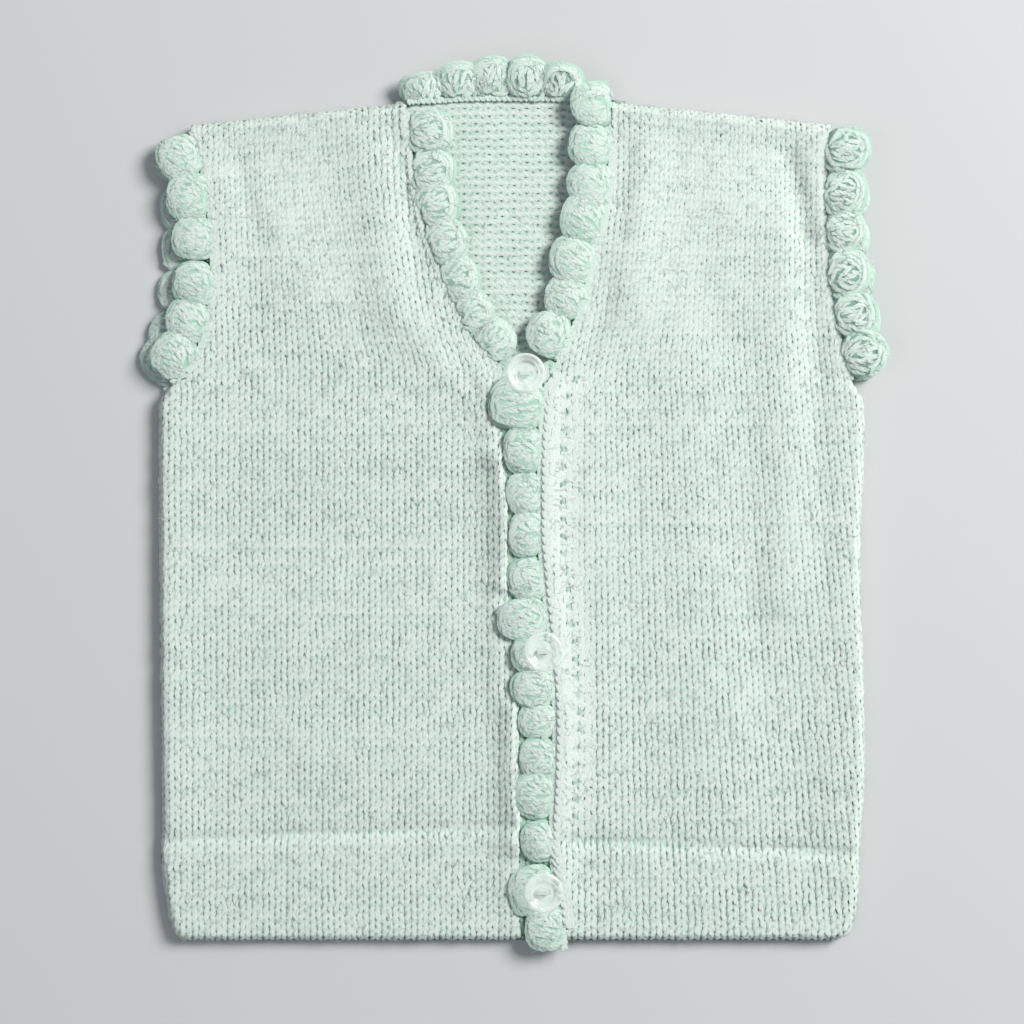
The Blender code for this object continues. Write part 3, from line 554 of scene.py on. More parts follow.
def folds(table, x, y):
    """Height of the soft ridges at (x, y): each is a bell across its line, fading past its ends."""
    total = np.zeros(np.broadcast(x, y).shape)
    for row in table:
        fold = dict(zip(FOLD_COLUMNS, row))
        along_x = fold["x1"] - fold["x0"]
        along_y = fold["y1"] - fold["y0"]
        length = math.hypot(along_x, along_y)
        s = ((x - fold["x0"]) * along_x + (y - fold["y0"]) * along_y) / length
        off = ((x - fold["x0"]) * along_y - (y - fold["y0"]) * along_x) / length
        past = np.maximum(0.0, np.maximum(-s, s - length))
        total += fold["height"] * np.exp(-(off**2 + past**2) / fold["width"] ** 2)
    return total


def shoulder_drop(x, row_y):
    """How far a row is lowered at x, so that the top rows slope down to the armholes."""
    share = step(row_y, SHOULDER_SLOPE_FROM, NECK_POINT_Y)
    return SHOULDER_SLOPE * np.maximum(np.abs(x) - NECK_POINT_X, 0.0) * share


def side_sewn(side_x, row_y):
    """1 where a row's side edge is sewn, 0 in the armholes."""
    start, end = UNDERARM_BLEND
    return 1 - step(row_y - shoulder_drop(side_x, row_y), UNDERARM_Y + start, UNDERARM_Y + end)


def quarter_turn(distance, radius):
    """How far in, and what share of the full height up, a point is after distance round an edge.

    The cloth turns a quarter circle of that radius from the seam and then runs straight in.
    """
    quarter = radius * math.pi / 2
    turn = np.clip(distance / np.maximum(quarter, 1e-6), 0.0, 1.0) * math.pi / 2
    return radius * (1 - np.cos(turn)) + np.maximum(distance - quarter, 0.0), np.sin(turn)


def row_place(flat_y):
    """y of a row before the shoulders' slope, and its share of the full height."""
    from_hem, hem_rise = quarter_turn(flat_y - FLAT_LOW, ROLL)
    from_top, top_rise = quarter_turn(FLAT_HIGH - flat_y, ROLL)
    row_y = np.where(flat_y < 0, HEM_Y + from_hem, NECK_POINT_Y - from_top)
    return row_y, hem_rise * top_rise


def sloped_side(side, row_y):
    """x of a side edge on a row that the shoulder's slope lowers."""
    return read(side, row_y - shoulder_drop(read(side, row_y), row_y))


def front_edges(front, row_y):
    """x of a front's side and opening edges, and how far the one is sewn and the other rolled."""
    side_x = sloped_side(front["side"], row_y)
    rolled = np.clip(read(front["roll"], row_y), 0.0, 1.0)
    return side_x, read(front["opening"], row_y), side_sewn(side_x, row_y), rolled


def front_limits(front, flat_y):
    """Flat x of a front's side seam and opening edge."""
    side_x, opening_x, sewn, rolled = front_edges(front, row_place(flat_y)[0])
    outwards = -front["inwards"] * SLACK
    return side_x + outwards * sewn, opening_x - outwards * rolled


def front_face(front, flat_x, flat_y):
    """Points of a front's outer face at flat coordinates.

    It lies level on the back. It is higher along seams, on folds, at the armhole and where its
    opening edge stands up, and quarter turns take it down to the seams and round the hem.
    """
    row_y, rise = row_place(flat_y)
    inwards = front["inwards"]
    side_x, opening_x, sewn, rolled = front_edges(front, row_y)
    run_side = inwards * (flat_x - side_x) + SLACK * sewn
    run_opening = inwards * (opening_x - flat_x) + SLACK * rolled
    in_side, high_side = quarter_turn(run_side, ROLL * sewn)
    in_opening, high_opening = quarter_turn(run_opening, ROLL * rolled)
    x = np.where(run_side < run_opening, side_x + inwards * in_side, opening_x - inwards * in_opening)
    y = row_y - shoulder_drop(x, row_y)

    from_side = np.abs(x - side_x)
    from_opening = np.abs(x - opening_x)
    hem_line = HEM_Y + front["hem"][0] + front["hem"][1] * from_side / (from_side + from_opening + 1e-6)
    puff = np.maximum(
        sewn * bell(from_side, SIDE_PUFF_WIDTH), bell(NECK_POINT_Y - row_y, SHOULDER_PUFF_WIDTH),
    )
    top = REST_Z + SIDE_PUFF * puff + folds(front["folds"], x, y) * (1 - puff)
    top += HEM_STEP * step(hem_line - y, -HEM_LINE_BLEND, HEM_LINE_BLEND) * (1 - puff)
    top -= HEM_LINE_DIP * bell(hem_line - y, HEM_LINE_WIDTH)
    top += ARMHOLE_LIFT * (1 - sewn) * bell(from_side, ARMHOLE_PUFF_WIDTH) * (1 - puff)
    top += ROLL_TOP * rolled * bell(from_opening, OPENING_PUFF_WIDTH)
    full = rise * (1 - sewn * (1 - high_side)) * (1 - rolled * (1 - high_opening))
    return np.stack([x, y, FRONT_SEAM_Z + (top - FRONT_SEAM_Z) * full], axis=-1)


def back_edges(row_y):
    """x of the back's two edges: the side seams, and a little outside the fronts' armholes."""
    leave, away, rejoin = BACK_ARMHOLE_BLEND
    open_edge = step(row_y, leave, away) * (1 - step(row_y, rejoin, NECK_POINT_Y))
    return [
        sloped_side(side, row_y) + sign * BACK_ARMHOLE_OUT * open_edge
        for side, sign in ((RIGHT_SIDE, -1.0), (LEFT_SIDE, 1.0))
    ]


def back_limits(flat_y):
    """Flat x of the back's two edges."""
    row_y, _ = row_place(flat_y)
    left, right = back_edges(row_y)
    return left - SLACK * side_sewn(left, row_y), right + SLACK * side_sewn(right, row_y)


def back_face(flat_x, flat_y, outer):
    """Points of the back's outer face, which lies flat and curls up to its seams, or its inner one."""
    row_y, rise = row_place(flat_y)
    left, right = back_edges(row_y)
    sewn_left = side_sewn(left, row_y)
    sewn_right = side_sewn(right, row_y)
    in_left, high_left = quarter_turn(flat_x - left + SLACK * sewn_left, ROLL * sewn_left)
    in_right, high_right = quarter_turn(right + SLACK * sewn_right - flat_x, ROLL * sewn_right)
    x = np.where(flat_x < 0, left + in_left, right - in_right)
    middle = 1 - step(np.abs(x), BACK_NECK_FLAT, NECK_POINT_X)
    rise_y = BACK_NECK_RISE * step(row_y, SHOULDER_SLOPE_FROM, NECK_POINT_Y) * middle
    full = rise * (1 - sewn_left * (1 - high_left)) * (1 - sewn_right * (1 - high_right))
    z = BACK_SEAM_Z * (1 - full) if outer else BACK_SEAM_Z - (BACK_SEAM_Z - CLOTH) * full
    return np.stack([x, row_y - shoulder_drop(x, row_y) + rise_y, z], axis=-1)


def raised(face, flat_x, flat_y, lift):
    """Points lift millimetres outside a face, and the face's normals there.

    A normal is the cross product of two short central differences along the face.
    """
    tiny = 0.05
    run_x = face(flat_x + tiny, flat_y) - face(flat_x - tiny, flat_y)
    run_y = face(flat_x, flat_y + tiny) - face(flat_x, flat_y - tiny)
    normal = np.cross(run_x, run_y)
    normal = np.where(np.linalg.norm(normal, axis=-1, keepdims=True) > 1e-9, unit(normal), UP)
    return face(flat_x, flat_y) + normal * np.asarray(lift)[..., None], normal


# ---- Meshes
def make_piece(name, points, faces, material, uvs=None, replaces=(), normals=None, lifts=None):
    """A mesh piece that rides on the vest, from points in millimetres and arrays of face corners."""
    mesh = bpy.data.meshes.new(name)
    corners = np.concatenate([group.ravel() for group in faces]).astype(np.int32)
    sizes = np.concatenate([np.full(len(group), group.shape[1]) for group in faces])
    starts = np.concatenate([[0], np.cumsum(sizes)[:-1]]).astype(np.int32)
    mesh.vertices.add(len(points))
    mesh.vertices.foreach_set("co", (points * MM).astype(np.float32).ravel())
    mesh.loops.add(len(corners))
    mesh.loops.foreach_set("vertex_index", corners)
    mesh.polygons.add(len(starts))
    mesh.polygons.foreach_set("loop_start", starts)
    mesh.update(calc_edges=True)
    if mesh.validate():
        raise ValueError(f"{name}: its mesh has faces that Blender can't use")
    if uvs is not None:
        mesh.uv_layers.new(name="yarn").data.foreach_set("uv", uvs.astype(np.float32).ravel())
    # The lift attribute carries the painted shade: the yarn's colour is deeper where it is lower
    if lifts is not None:
        mesh.attributes.new("lift", "FLOAT", "POINT").data.foreach_set("value", lifts.astype(np.float32))
    mesh.shade_smooth()
    if normals is not None:
        mesh.normals_split_custom_set_from_vertices(normals.tolist())
    mesh.materials.append(material)
    made = bpy.data.objects.new(name, mesh)
    bpy.context.scene.collection.objects.link(made)
    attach(made, BODY)
    if replaces:
        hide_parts(*replaces)
    return made


def wall(upper, lower):
    """Points and faces of a closed wall: an upper and a lower grid, joined round their rim."""
    rows, columns, _ = upper.shape
    index = np.arange(rows * columns).reshape(rows, columns)
    below = index + rows * columns
    quads = np.stack([index[:-1, :-1], index[:-1, 1:], index[1:, 1:], index[1:, :-1]], axis=-1)
    under = np.stack([below[:-1, :-1], below[1:, :-1], below[1:, 1:], below[:-1, 1:]], axis=-1)
    loop = np.concatenate([index[0], index[1:, -1], index[-1, -2::-1], index[-2:0:-1, 0]])
    after = np.roll(loop, -1)
    rim = np.stack([loop + rows * columns, after + rows * columns, after, loop], axis=-1)
    points = np.concatenate([upper.reshape(-1, 3), lower.reshape(-1, 3)])
    return points, [np.concatenate([quads.reshape(-1, 4), under.reshape(-1, 4), rim])]


def strand_tubes(points, strand, normal, wide, thick, lift, sides):
    """Tubes round strands of yarn: points, faces, UVs, shading normals and lifts.

    Each point gets a ring of corners: an ellipse, wide across the cloth and thick along its normal,
    square to the strand. Points of one strand share its number. UVs run along the yarn in
    millimetres and once round it, and both ends are closed. Shading normals lean from the strand's
    own towards the cloth's, because light spreads among the loose fibres between strands. A lift is
    a corner's height above the cloth's outer face.
    """
    same_next = np.append(strand[1:] == strand[:-1], False)
    same_last = np.insert(strand[1:] == strand[:-1], 0, False)
    here = np.arange(len(points))
    run = unit(points[np.where(same_next, here + 1, here)] - points[np.where(same_last, here - 1, here)])
    across = unit(np.cross(run, normal))
    up = np.cross(across, run)
    turn = 2 * math.pi * (np.arange(sides) / sides) - math.pi / 2
    ring = (
        points[:, None, :]
        + across[:, None, :] * (wide[:, None] * np.cos(turn))[:, :, None]
        + up[:, None, :] * (thick[:, None] * np.sin(turn))[:, :, None]
    )
    shading = across[:, None, :] * np.cos(turn)[:, None] + up[:, None, :] * np.sin(turn)[:, None]
    shading = unit((1 - FUZZ_SPREAD) * shading + FUZZ_SPREAD * normal[:, None, :])
    corner = here[:, None] * sides + np.arange(sides)
    after = np.roll(corner, -1, axis=1)
    joined = np.flatnonzero(same_next)
    quads = np.stack([corner[joined], corner[joined + 1], after[joined + 1], after[joined]], axis=-1)

    length = np.concatenate([[0.0], np.cumsum(np.linalg.norm(np.diff(points, axis=0), axis=1))])
    low = np.stack(np.broadcast_arrays(length[:, None], np.arange(sides) / sides), axis=-1)
    high = low + [0.0, 1 / sides]
    quad_uv = np.stack([low[joined], low[joined + 1], high[joined + 1], high[joined]], axis=2)
    uvs = [quad_uv.reshape(-1, 2), low[~same_last].reshape(-1, 2), low[~same_next].reshape(-1, 2)]
    faces = [quads.reshape(-1, 4), corner[~same_last], corner[~same_next][:, ::-1]]
    # Each corner's height, which the yarn's colour reads as painted shade
    lifts = lift[:, None] + thick[:, None] * np.sin(turn)
    return ring.reshape(-1, 3), faces, np.concatenate(uvs), shading.reshape(-1, 3), lifts.ravel()


def yarn_piece(name, groups, sides, material):
    """One piece from groups of strands, each (points, strand, normal, wide, thick, lift).

    Strands of different groups keep different numbers.
    """
    merged = [np.concatenate(parts) for parts in zip(*groups)]
    offsets = np.cumsum([0] + [int(np.ptp(group[1])) + 1 for group in groups])
    numbers = [group[1] - group[1].min() + offset for group, offset in zip(groups, offsets)]
    merged[1] = np.concatenate(numbers)
    corners, faces, uvs, normals, lifts = strand_tubes(*merged, sides)
    return make_piece(name, corners, faces, material, uvs, (), normals, lifts)


def plain_strand(point, wide, lift):
    """A group of one round strand, from its points, on cloth that lies level."""
    count = len(point)
    wide, lift = np.broadcast_to(wide, count), np.broadcast_to(lift, count)
    return point, np.zeros(count, int), np.broadcast_to(UP, (count, 3)), wide, wide, lift


# ---- Knitting
def front_wales(front, wale, row_y, width):
    """Flat x of a wale of a front at a row: upright lines that partly follow the neck, and fan out."""
    middle = (read(front["side"], 0.0) + read(front["opening"], 0.0)) / 2
    upright = middle + wale * width
    neck_x = read(front["opening"], np.maximum(row_y, NECK_LEAN_FROM))
    follow = NECK_LEAN_SHARE * (neck_x - read(front["opening"], NECK_LEAN_FROM))
    lean = follow * bell(neck_x - upright, NECK_LEAN_WIDTH)
    fan = np.clip((np.abs(upright) - FAN_START) / FAN_WIDTH, 0.0, FAN_MOST)
    drop = np.minimum(row_y, FAN_TOP_Y) - FAN_MIDDLE_Y
    return upright + lean + front["inwards"] * front["fan"] * drop * fan


def border_relief(limits, flat_x, flat_y):
    """How plump the border's yarn is, 0 to 1, and how far it stands up or lies in.

    A band of smooth steps is plump. A bell across the edge makes a groove, and a product of two
    bells, one repeated along the edge, a line of holes.
    """
    from_edge = np.abs(flat_x - limits(flat_y)[1])
    start, end = BORDER_REACH
    plump = step(from_edge, start - BORDER_BLEND, start) * (1 - step(from_edge, end, end + BORDER_BLEND))
    low, high = BORDER_ROWS
    rows = step(flat_y, low, low + BORDER_ENDS[0]) * (1 - step(flat_y, high - BORDER_ENDS[1], high))
    at, half, deep = BORDER_GROOVE
    lift = BORDER_LIFT * plump + deep * bell(from_edge - at, half)
    at, apart, half, deep = BORDER_HOLES
    along = (flat_y / apart - np.round(flat_y / apart)) * apart
    lift = lift + deep * bell(from_edge - at, half) * bell(along, half)
    return plump * rows, lift * rows


def ordered_limits(limits, flat_y):
    """Flat x where a row starts and ends, the lower one first."""
    edges = limits(flat_y)
    return np.minimum(*edges), np.maximum(*edges)


def stitch_rows(
    face, limits, wales, wale_range, flat_rows, sizes, seed, loop=KNIT_LOOP, keep=None, border=False
):
    """Rows of stitches on a face, one strand of yarn for each row.

    A strand runs from wale to wale. It swings up by a cosine once a wale, sideways by a sine twice
    a wale, and its legs stand in front of its heads by a cosine twice a wale.
    limits gives the flat x where a row starts and ends, and keep a mask of the places to fill.
    With a border, the yarn beside the second limit is plump.
    """
    random = np.random.default_rng(seed)
    first, last = wale_range
    phases = np.array(STITCH_PHASES)
    wale = (np.arange(first, last)[:, None] + phases).ravel()
    loose = random.normal(0.0, 1.0, (3, len(flat_rows), last - first + 1))
    share = np.tile(phases, last - first)
    at = np.repeat(np.arange(last - first), len(phases))
    wander = loose[:, :, at] * (1 - share) + loose[:, :, at + 1] * share
    tight = random.normal(0.0, 1.0, (len(flat_rows), 1))

    swing = 4 * math.pi * wale
    flat_wale = wale + loop["sway"] * np.sin(swing) + loop["open"] * np.sin(swing / 2)
    rows_up = loop["reach"] * np.cos(swing / 2) + LOOSE[1] * wander[1] + LOOSE_ROW * tight
    flat_y = np.clip(np.asarray(flat_rows)[:, None] + sizes["row"] * rows_up, FLAT_LOW, FLAT_HIGH)
    flat_x = wales(flat_wale + LOOSE[0] * wander[0], row_place(flat_y)[0])
    start, end = ordered_limits(limits, flat_y)
    inside = (flat_x > start) & (flat_x < end)
    if keep is not None:
        inside &= keep(flat_x, flat_y)
    grown = inside.copy()
    grown[:, 1:] |= inside[:, :-1]
    grown[:, :-1] |= inside[:, 1:]
    flat_x = np.clip(flat_x, start, end)
    lift = -loop["depth"] * np.cos(swing) - STITCH_MIDDLE + LOOSE[2] * wander[2]
    wide = sizes["yarn"] / 2 * (1 + LOOSE_YARN[0] * wander[1] + LOOSE_YARN[1] * tight)
    if border:
        plump, relief = border_relief(limits, flat_x, flat_y)
        lift = lift - (lift + STITCH_MIDDLE) * BORDER_EVEN * plump + relief
        wide = wide * (1 + BORDER_PLUMP * plump)
    point, normal = raised(face, flat_x, flat_y, lift)
    fresh = grown & ~np.insert(grown[:, :-1], 0, False, axis=1)
    strand = np.cumsum(fresh.ravel()).reshape(grown.shape)
    return tuple(each[grown] for each in (point, strand, normal, wide, wide * STITCH_FLATNESS, lift))


def selvedge(face, limits, side, low, high, yarn, seed, inset=EDGE_INSET):
    """The chain that closes a front's open edge, as two plies that turn over each other.

    Its middle lies inset from the edge, by the first number, and off the face by the second.
    """
    random = np.random.default_rng(seed)
    flat_y = np.linspace(low, high, int((high - low) / SELVEDGE_STEP))
    edge = limits(flat_y)[side]
    inwards = np.sign(limits(flat_y)[1 - side] - edge)
    turn, half, uneven = SELVEDGE_PLIES
    groups = []
    for ply in (0.0, math.pi):
        twist = 2 * math.pi * flat_y / SELVEDGE_PITCH + ply
        aside = inset[0] + turn * yarn * np.cos(twist)
        lift = inset[1] + turn * yarn * np.sin(twist)
        point, _ = raised(face, edge + inwards * aside, flat_y, lift)
        wide = half * yarn * (1 + uneven * random.normal(0.0, 1.0, len(flat_y)))
        groups.append(plain_strand(point, wide, lift))
    return groups


def flat_grid(limits, flat_rows):
    """Flat coordinates of a grid that fills a cloth."""
    start, end = ordered_limits(limits, flat_rows)
    share = np.linspace(0.0, 1.0, int(np.max(end - start) / BASE_PITCH))
    flat_x = start[:, None] + (end - start)[:, None] * share
    return flat_x, np.broadcast_to(flat_rows[:, None], flat_x.shape)


def cloth_wall(name, grid, upper, lower, material, node):
    """A wall of cloth in place of a solid, between two grids of points over one flat grid."""
    points, faces = wall(upper, lower)
    flat = np.stack(grid, axis=-1).reshape(-1, 2)
    uvs = np.concatenate([flat, flat])[np.concatenate([group.ravel() for group in faces])]
    return make_piece(name, points, faces, material, uvs, [node])


def ground_cloth(node, face, limits, flat_rows, material, depths):
    """The thin cloth behind a solid's stitches: a wall between two depths below a face."""
    grid = flat_grid(limits, flat_rows)
    upper, lower = [raised(face, *grid, np.full(grid[0].shape, -depth))[0] for depth in depths]
    return cloth_wall(f"{node}_cloth", grid, upper, lower, material, node)


def cut_sizes(limits, flat_rows):
    """Width and height of a cut, in metres, and its area: the widths of its rows, summed."""
    start, end = limits(flat_rows)
    width = np.abs(end - start)
    flat = (float(np.max(width)) * MM, (FLAT_HIGH - FLAT_LOW) * MM)
    return flat, float(np.trapz(width, flat_rows)) * MM * MM


# ---- Crochet
def path_along(points):
    """A smooth curve through root points, as positions and its length so far."""
    points = np.array(points, float)
    chord = np.concatenate([[0.0], np.cumsum(np.linalg.norm(np.diff(points, axis=0), axis=1))])
    fine = np.linspace(0.0, chord[-1], PATH_POINTS)
    curve = np.stack([read(np.column_stack([chord, points[:, k]]), fine) for k in range(3)], axis=1)
    length = np.concatenate([[0.0], np.cumsum(np.linalg.norm(np.diff(curve, axis=0), axis=1))])
    return curve, length


def along_path(curve, length, at):
    """Points of a curve at lengths along it."""
    return np.stack([np.interp(at, length, curve[:, k]) for k in range(3)], axis=-1)


def edge_roots(edging):
    """Root points of an edging: any corner points, and then its edge, moved outside by the gap."""
    y = np.linspace(edging["start"], edging["end"], ROOT_POINTS)
    on, edge = edging["of"], edging["edge"]
    x = back_edges(y)[edge] if on == "back" else read(FRONTS[on][edge], y)
    run = unit(np.stack([np.gradient(x), np.gradient(y)], axis=1))
    away = edging["turn"] * SHELL_EDGE_GAP * np.stack([-run[:, 1], run[:, 0]], axis=1)
    beside = np.column_stack([x + away[:, 0], y + away[:, 1], np.full(len(y), edging["z"])])
    return np.vstack([np.array(edging["corner"]).reshape(-1, 3), beside])


def shell_frames(root, turn_to, tilts, bounds):
    """Where each shell stands: its root's middle, directions along, outwards and up, and width.

    bounds is the number of shells, or the lengths along the root where they start and end.
    """
    curve, length = path_along(root)
    if isinstance(bounds, int):
        bounds = np.linspace(0.0, length[-1], bounds + 1)
    middle = (bounds[1:] + bounds[:-1]) / 2
    run = along_path(curve, length, middle + RUN_STEP) - along_path(curve, length, middle - RUN_STEP)
    run = unit(run * [1.0, 1.0, 0.0])
    out = turn_to * np.cross(UP, run)
    tilt = np.radians(np.interp(middle / length[-1], *np.array(tilts, float).T))[:, None]
    outward = out * np.cos(tilt) + UP * np.sin(tilt)
    normal = UP * np.cos(tilt) - out * np.sin(tilt)
    # Mirrored where the edging turns the other way, so that faces on a shell still point up
    run = turn_to * run
    return along_path(curve, length, middle), run, outward, normal, np.diff(bounds), (curve, length)


def edging_rows():
    """Every edging's name, the frames of its shells, and their reaches."""
    made = []
    for name, edging in EDGINGS.items():
        tilts = [(0.0, edging["tilt_start"]), (1.0, edging["tilt_end"])]
        reaches = (edging["reach"], edging["mid"], edging["last"])
        reaches = np.interp(np.linspace(0.0, 1.0, edging["shells"]), (0.0, 0.5, 1.0), reaches)
        frames = shell_frames(edge_roots(edging), edging["turn"], tilts, edging["shells"])
        made.append((name, frames, reaches))
    frames = shell_frames(BACK_NECK_ROOT, 1, BACK_NECK_TILTS, len(BACK_NECK_REACHES))
    made.append(("edging_neck_back", frames, np.array(BACK_NECK_REACHES)))

    middle, reaches, height = np.array(FRONT_SHELLS).T
    first, last = FRONT_EDGING_ENDS
    ends = np.concatenate([[first], (middle[1:] + middle[:-1]) / 2, [last]])
    z = np.interp(-ends, -middle, height)
    root = np.column_stack([read(LEFT_OPENING, ends) - SHELL_EDGE_GAP, ends, z])
    curve, length = path_along(root)
    bounds = np.interp(-ends, -curve[:, 1], length)
    made.append(("edging_front", shell_frames(root, -1, [(0.0, 0.0), (1.0, 0.0)], bounds), reaches))
    return made


def signed_power(value, power):
    """A power that keeps the value's sign."""
    return np.sign(value) * np.abs(value) ** power


def shell_point(frame, reach, share, turn, height):
    """Points of a shell at a share of the way out, an angle and a height: a rounded oblong."""
    place, run, outward, normal, width = frame
    power = np.where(np.sin(turn) > 0, *SHELL_FULLNESS)
    forward = signed_power(np.sin(turn), power)
    a = SHELL_SPREAD * width * share * signed_power(np.cos(turn), power)
    away = np.where(forward > 0, 1 - SHELL_CENTRE, SHELL_CENTRE) * reach
    b = SHELL_CENTRE * reach + share * forward * away
    return place + a[..., None] * run + b[..., None] * outward + height[..., None] * normal


def uneven_shells(frames, reaches, spread, seed):
    """The shells of an edging, each turned a little in its plane and of a slightly different size."""
    random = np.random.default_rng(seed)
    place, run, outward, normal, width, path = frames
    count = len(width)
    turn = random.normal(0.0, SHELL_UNEVEN, (count, 1))
    width = spread * width * (1 + SHELL_UNEVEN * random.normal(0.0, 1.0, count))
    reaches = reaches * (1 + 0.5 * SHELL_UNEVEN * random.normal(0.0, 1.0, count))
    place = place + normal * random.uniform(*SHELL_PLACE, (count, 1))
    new_run = run * np.cos(turn) + outward * np.sin(turn)
    new_outward = outward * np.cos(turn) - run * np.sin(turn)
    return (place, new_run, new_outward, normal, width, path), reaches


def shell_group(frame, reach, point, height, random):
    """A group of strands from points (shell, strand, place on it) that lie in the shells' planes."""
    off = point - frame[0] - SHELL_CENTRE * reach[..., None] * frame[2]
    norm = unit(UP + SHELL_TURNED * off / (0.5 * reach[..., None]))
    shells, strands, places, _ = point.shape
    point = point + height[..., None] * frame[3]
    taper = SHELL_TAPER + (1 - SHELL_TAPER) * np.sin(math.pi * np.linspace(0.0, 1.0, places))
    wide = (SHELL_STRAND * random.normal(1.0, SHELL_STRANDS, (shells, strands, 1)) * taper).ravel()
    strand = np.repeat(np.arange(shells * strands), places)
    thick = SHELL_FLATNESS * wide
    # The lift that the colour reads is moved down by SHELL_SHADE: painted shade over the shells
    return point.reshape(-1, 3), strand, norm.reshape(-1, 3), wide, thick, height.ravel() + SHELL_SHADE


def shell_tufts(frame, reach, random):
    """The tufts of a row of shells: short bowed strands.

    They are spaced over a shell's dome as seeds are in a sunflower, by the golden angle and a square
    root. The inner ones point away from its root, and the outer ones lie round it.
    """
    each = (len(reach), SHELL_TUFTS, 1)
    number = np.arange(SHELL_TUFTS)[:, None]
    out = SHELL_TUFT_OUT * np.sqrt((number + 0.5) / SHELL_TUFTS)
    out = out * random.uniform(*SHELL_TUFT_OUTS, each)
    turn = SHELL_TUFT_TURN * number + random.uniform(0.0, 2 * math.pi, (len(reach), 1, 1))
    middle = shell_point(frame, reach, out, turn, np.zeros(each))
    off = middle - frame[0] - SHELL_CENTRE * reach[..., None] * frame[2]
    radius = np.linalg.norm(off, axis=-1)
    away = unit(middle - frame[0] + SHELL_TUFT_FROM * reach[..., None] * frame[2])
    around = np.cross(frame[3], off) / radius[..., None]
    around = around * np.where(np.sum(around * away, axis=-1, keepdims=True) < 0, -1.0, 1.0)
    rounds = step(out, *SHELL_TUFT_ROUND)
    along = away * (1 - rounds[..., None]) + around * rounds[..., None]
    stray = random.normal(0.0, SHELL_TUFT_STRAY, each)[..., None]
    along = unit(along * np.cos(stray) + np.cross(frame[3], along) * np.sin(stray))
    aside = np.cross(frame[3], along)
    share = np.linspace(-0.5, 0.5, SHELL_TUFT_POINTS)
    long = SHELL_TUFT_LENGTH * reach * random.uniform(*SHELL_TUFT_LENGTHS, each)
    # The outer tufts bend with the rim: their sagitta is their length squared over 8 radii
    outside = np.sign(np.sum(aside * off, axis=-1))
    bow = random.normal(0.0, SHELL_TUFT_BENDS, each) * long
    bow = (bow + rounds * outside * long**2 / (8 * radius)) * (1 - 4 * share**2)
    height = SHELL_LOW + SHELL_PUFF * (1 - out**SHELL_DOME) + random.normal(0.0, SHELL_TUFT_HEIGHTS, each)
    point = middle + along * (long * share)[..., None] + aside * bow[..., None]
    return shell_group(frame, reach, point, height - SHELL_SINK * share**2, random)


def slip_stitches(curve, length, yarn, bare):
    """The slip stitches at a row of shells' root, past its bare start: two strands wound together."""
    along = np.linspace(bare, length[-1], int(length[-1] / SLIP_STITCH * SLIP_POINTS))
    centre = along_path(curve, length, along)
    aside = unit(np.cross(UP, np.gradient(centre, axis=0)))
    swing, rise, half = SLIP_SHARES
    groups = []
    for leg in (0.0, math.pi):
        phase = 2 * math.pi * along / SLIP_STITCH + leg
        point = centre + aside * (swing * yarn * np.cos(phase))[:, None]
        point = point + UP * (SLIP_Z + rise * yarn * np.sin(phase))[:, None]
        groups.append(plain_strand(point, half * yarn, SLIP_SHADE))
    return groups


def shell_strands(frames, reaches, seed):
    """The yarn of a row of shells: a group of tufts, and one for each arc that follows their rims."""
    random = np.random.default_rng(seed)
    frame = [each[:, None, None] for each in frames[:5]]
    reach = reaches[:, None, None]
    groups = [shell_tufts(frame, reach, random)]
    each = (len(reach), 1, 1)
    around = np.radians(np.linspace(*SHELL_ARC_ENDS, SHELL_ARC_POINTS))
    start, end, power = SHELL_ARC_FADE
    fade = np.sin(math.pi * np.linspace(start, end, SHELL_ARC_POINTS)) ** power
    for out, rise in SHELL_ARCS:
        turn = around + random.normal(0.0, SHELL_ARC_ANGLES, each)
        share = out + random.normal(0.0, SHELL_ARC_OUTS, each)
        share = share + SHELL_ARC_WAVE * np.sin(3 * turn + random.uniform(0, 6, each))
        height = rise + random.normal(0.0, SHELL_ARC_HEIGHTS, each) - SHELL_SINK * (1 - fade)
        point = shell_point(frame, reach, share, turn, np.zeros(height.shape))
        groups.append(shell_group(frame, reach, point, height, random))
    return groups


def shell_pads(frames, reaches):
    """A puffed pad inside each shell's yarn, so that no light falls through.

    A grid over angle and share of the way out gives its top, and the same grid mirrored its under
    face.
    """
    frame = [each[:, None, None] for each in frames[:5]]
    around, out = SHELL_PAD_GRID
    per = around * out
    shape = (len(reaches), around, out)
    turn = np.broadcast_to(np.linspace(0.0, 2 * math.pi, around, endpoint=False)[:, None], shape)
    share = np.broadcast_to(np.linspace(*SHELL_PAD_OUT, out), shape)
    puff = SHELL_PAD_HEIGHT * (1 - share**4)
    points = [shell_point(frame, reaches[:, None, None], share, turn, sign * puff) for sign in (1, -1)]
    grid = np.arange(per).reshape(around, out)
    after = np.roll(grid, -1, axis=0)
    top = np.stack([grid[:, :-1], grid[:, 1:], after[:, 1:], after[:, :-1]], axis=-1).reshape(-1, 4)
    rim = np.stack([grid[:, -1], grid[:, -1] + per, after[:, -1] + per, after[:, -1]], axis=-1)
    quads = np.concatenate([top, top[:, ::-1] + per, rim])
    caps = np.stack([grid[:, 0], grid[::-1, 0] + per])
    start = np.arange(len(reaches))[:, None, None] * 2 * per
    faces = [(quads[None] + start).reshape(-1, 4), (caps[None] + start).reshape(-1, around)]
    return np.stack(points, axis=1).reshape(-1, 3), faces


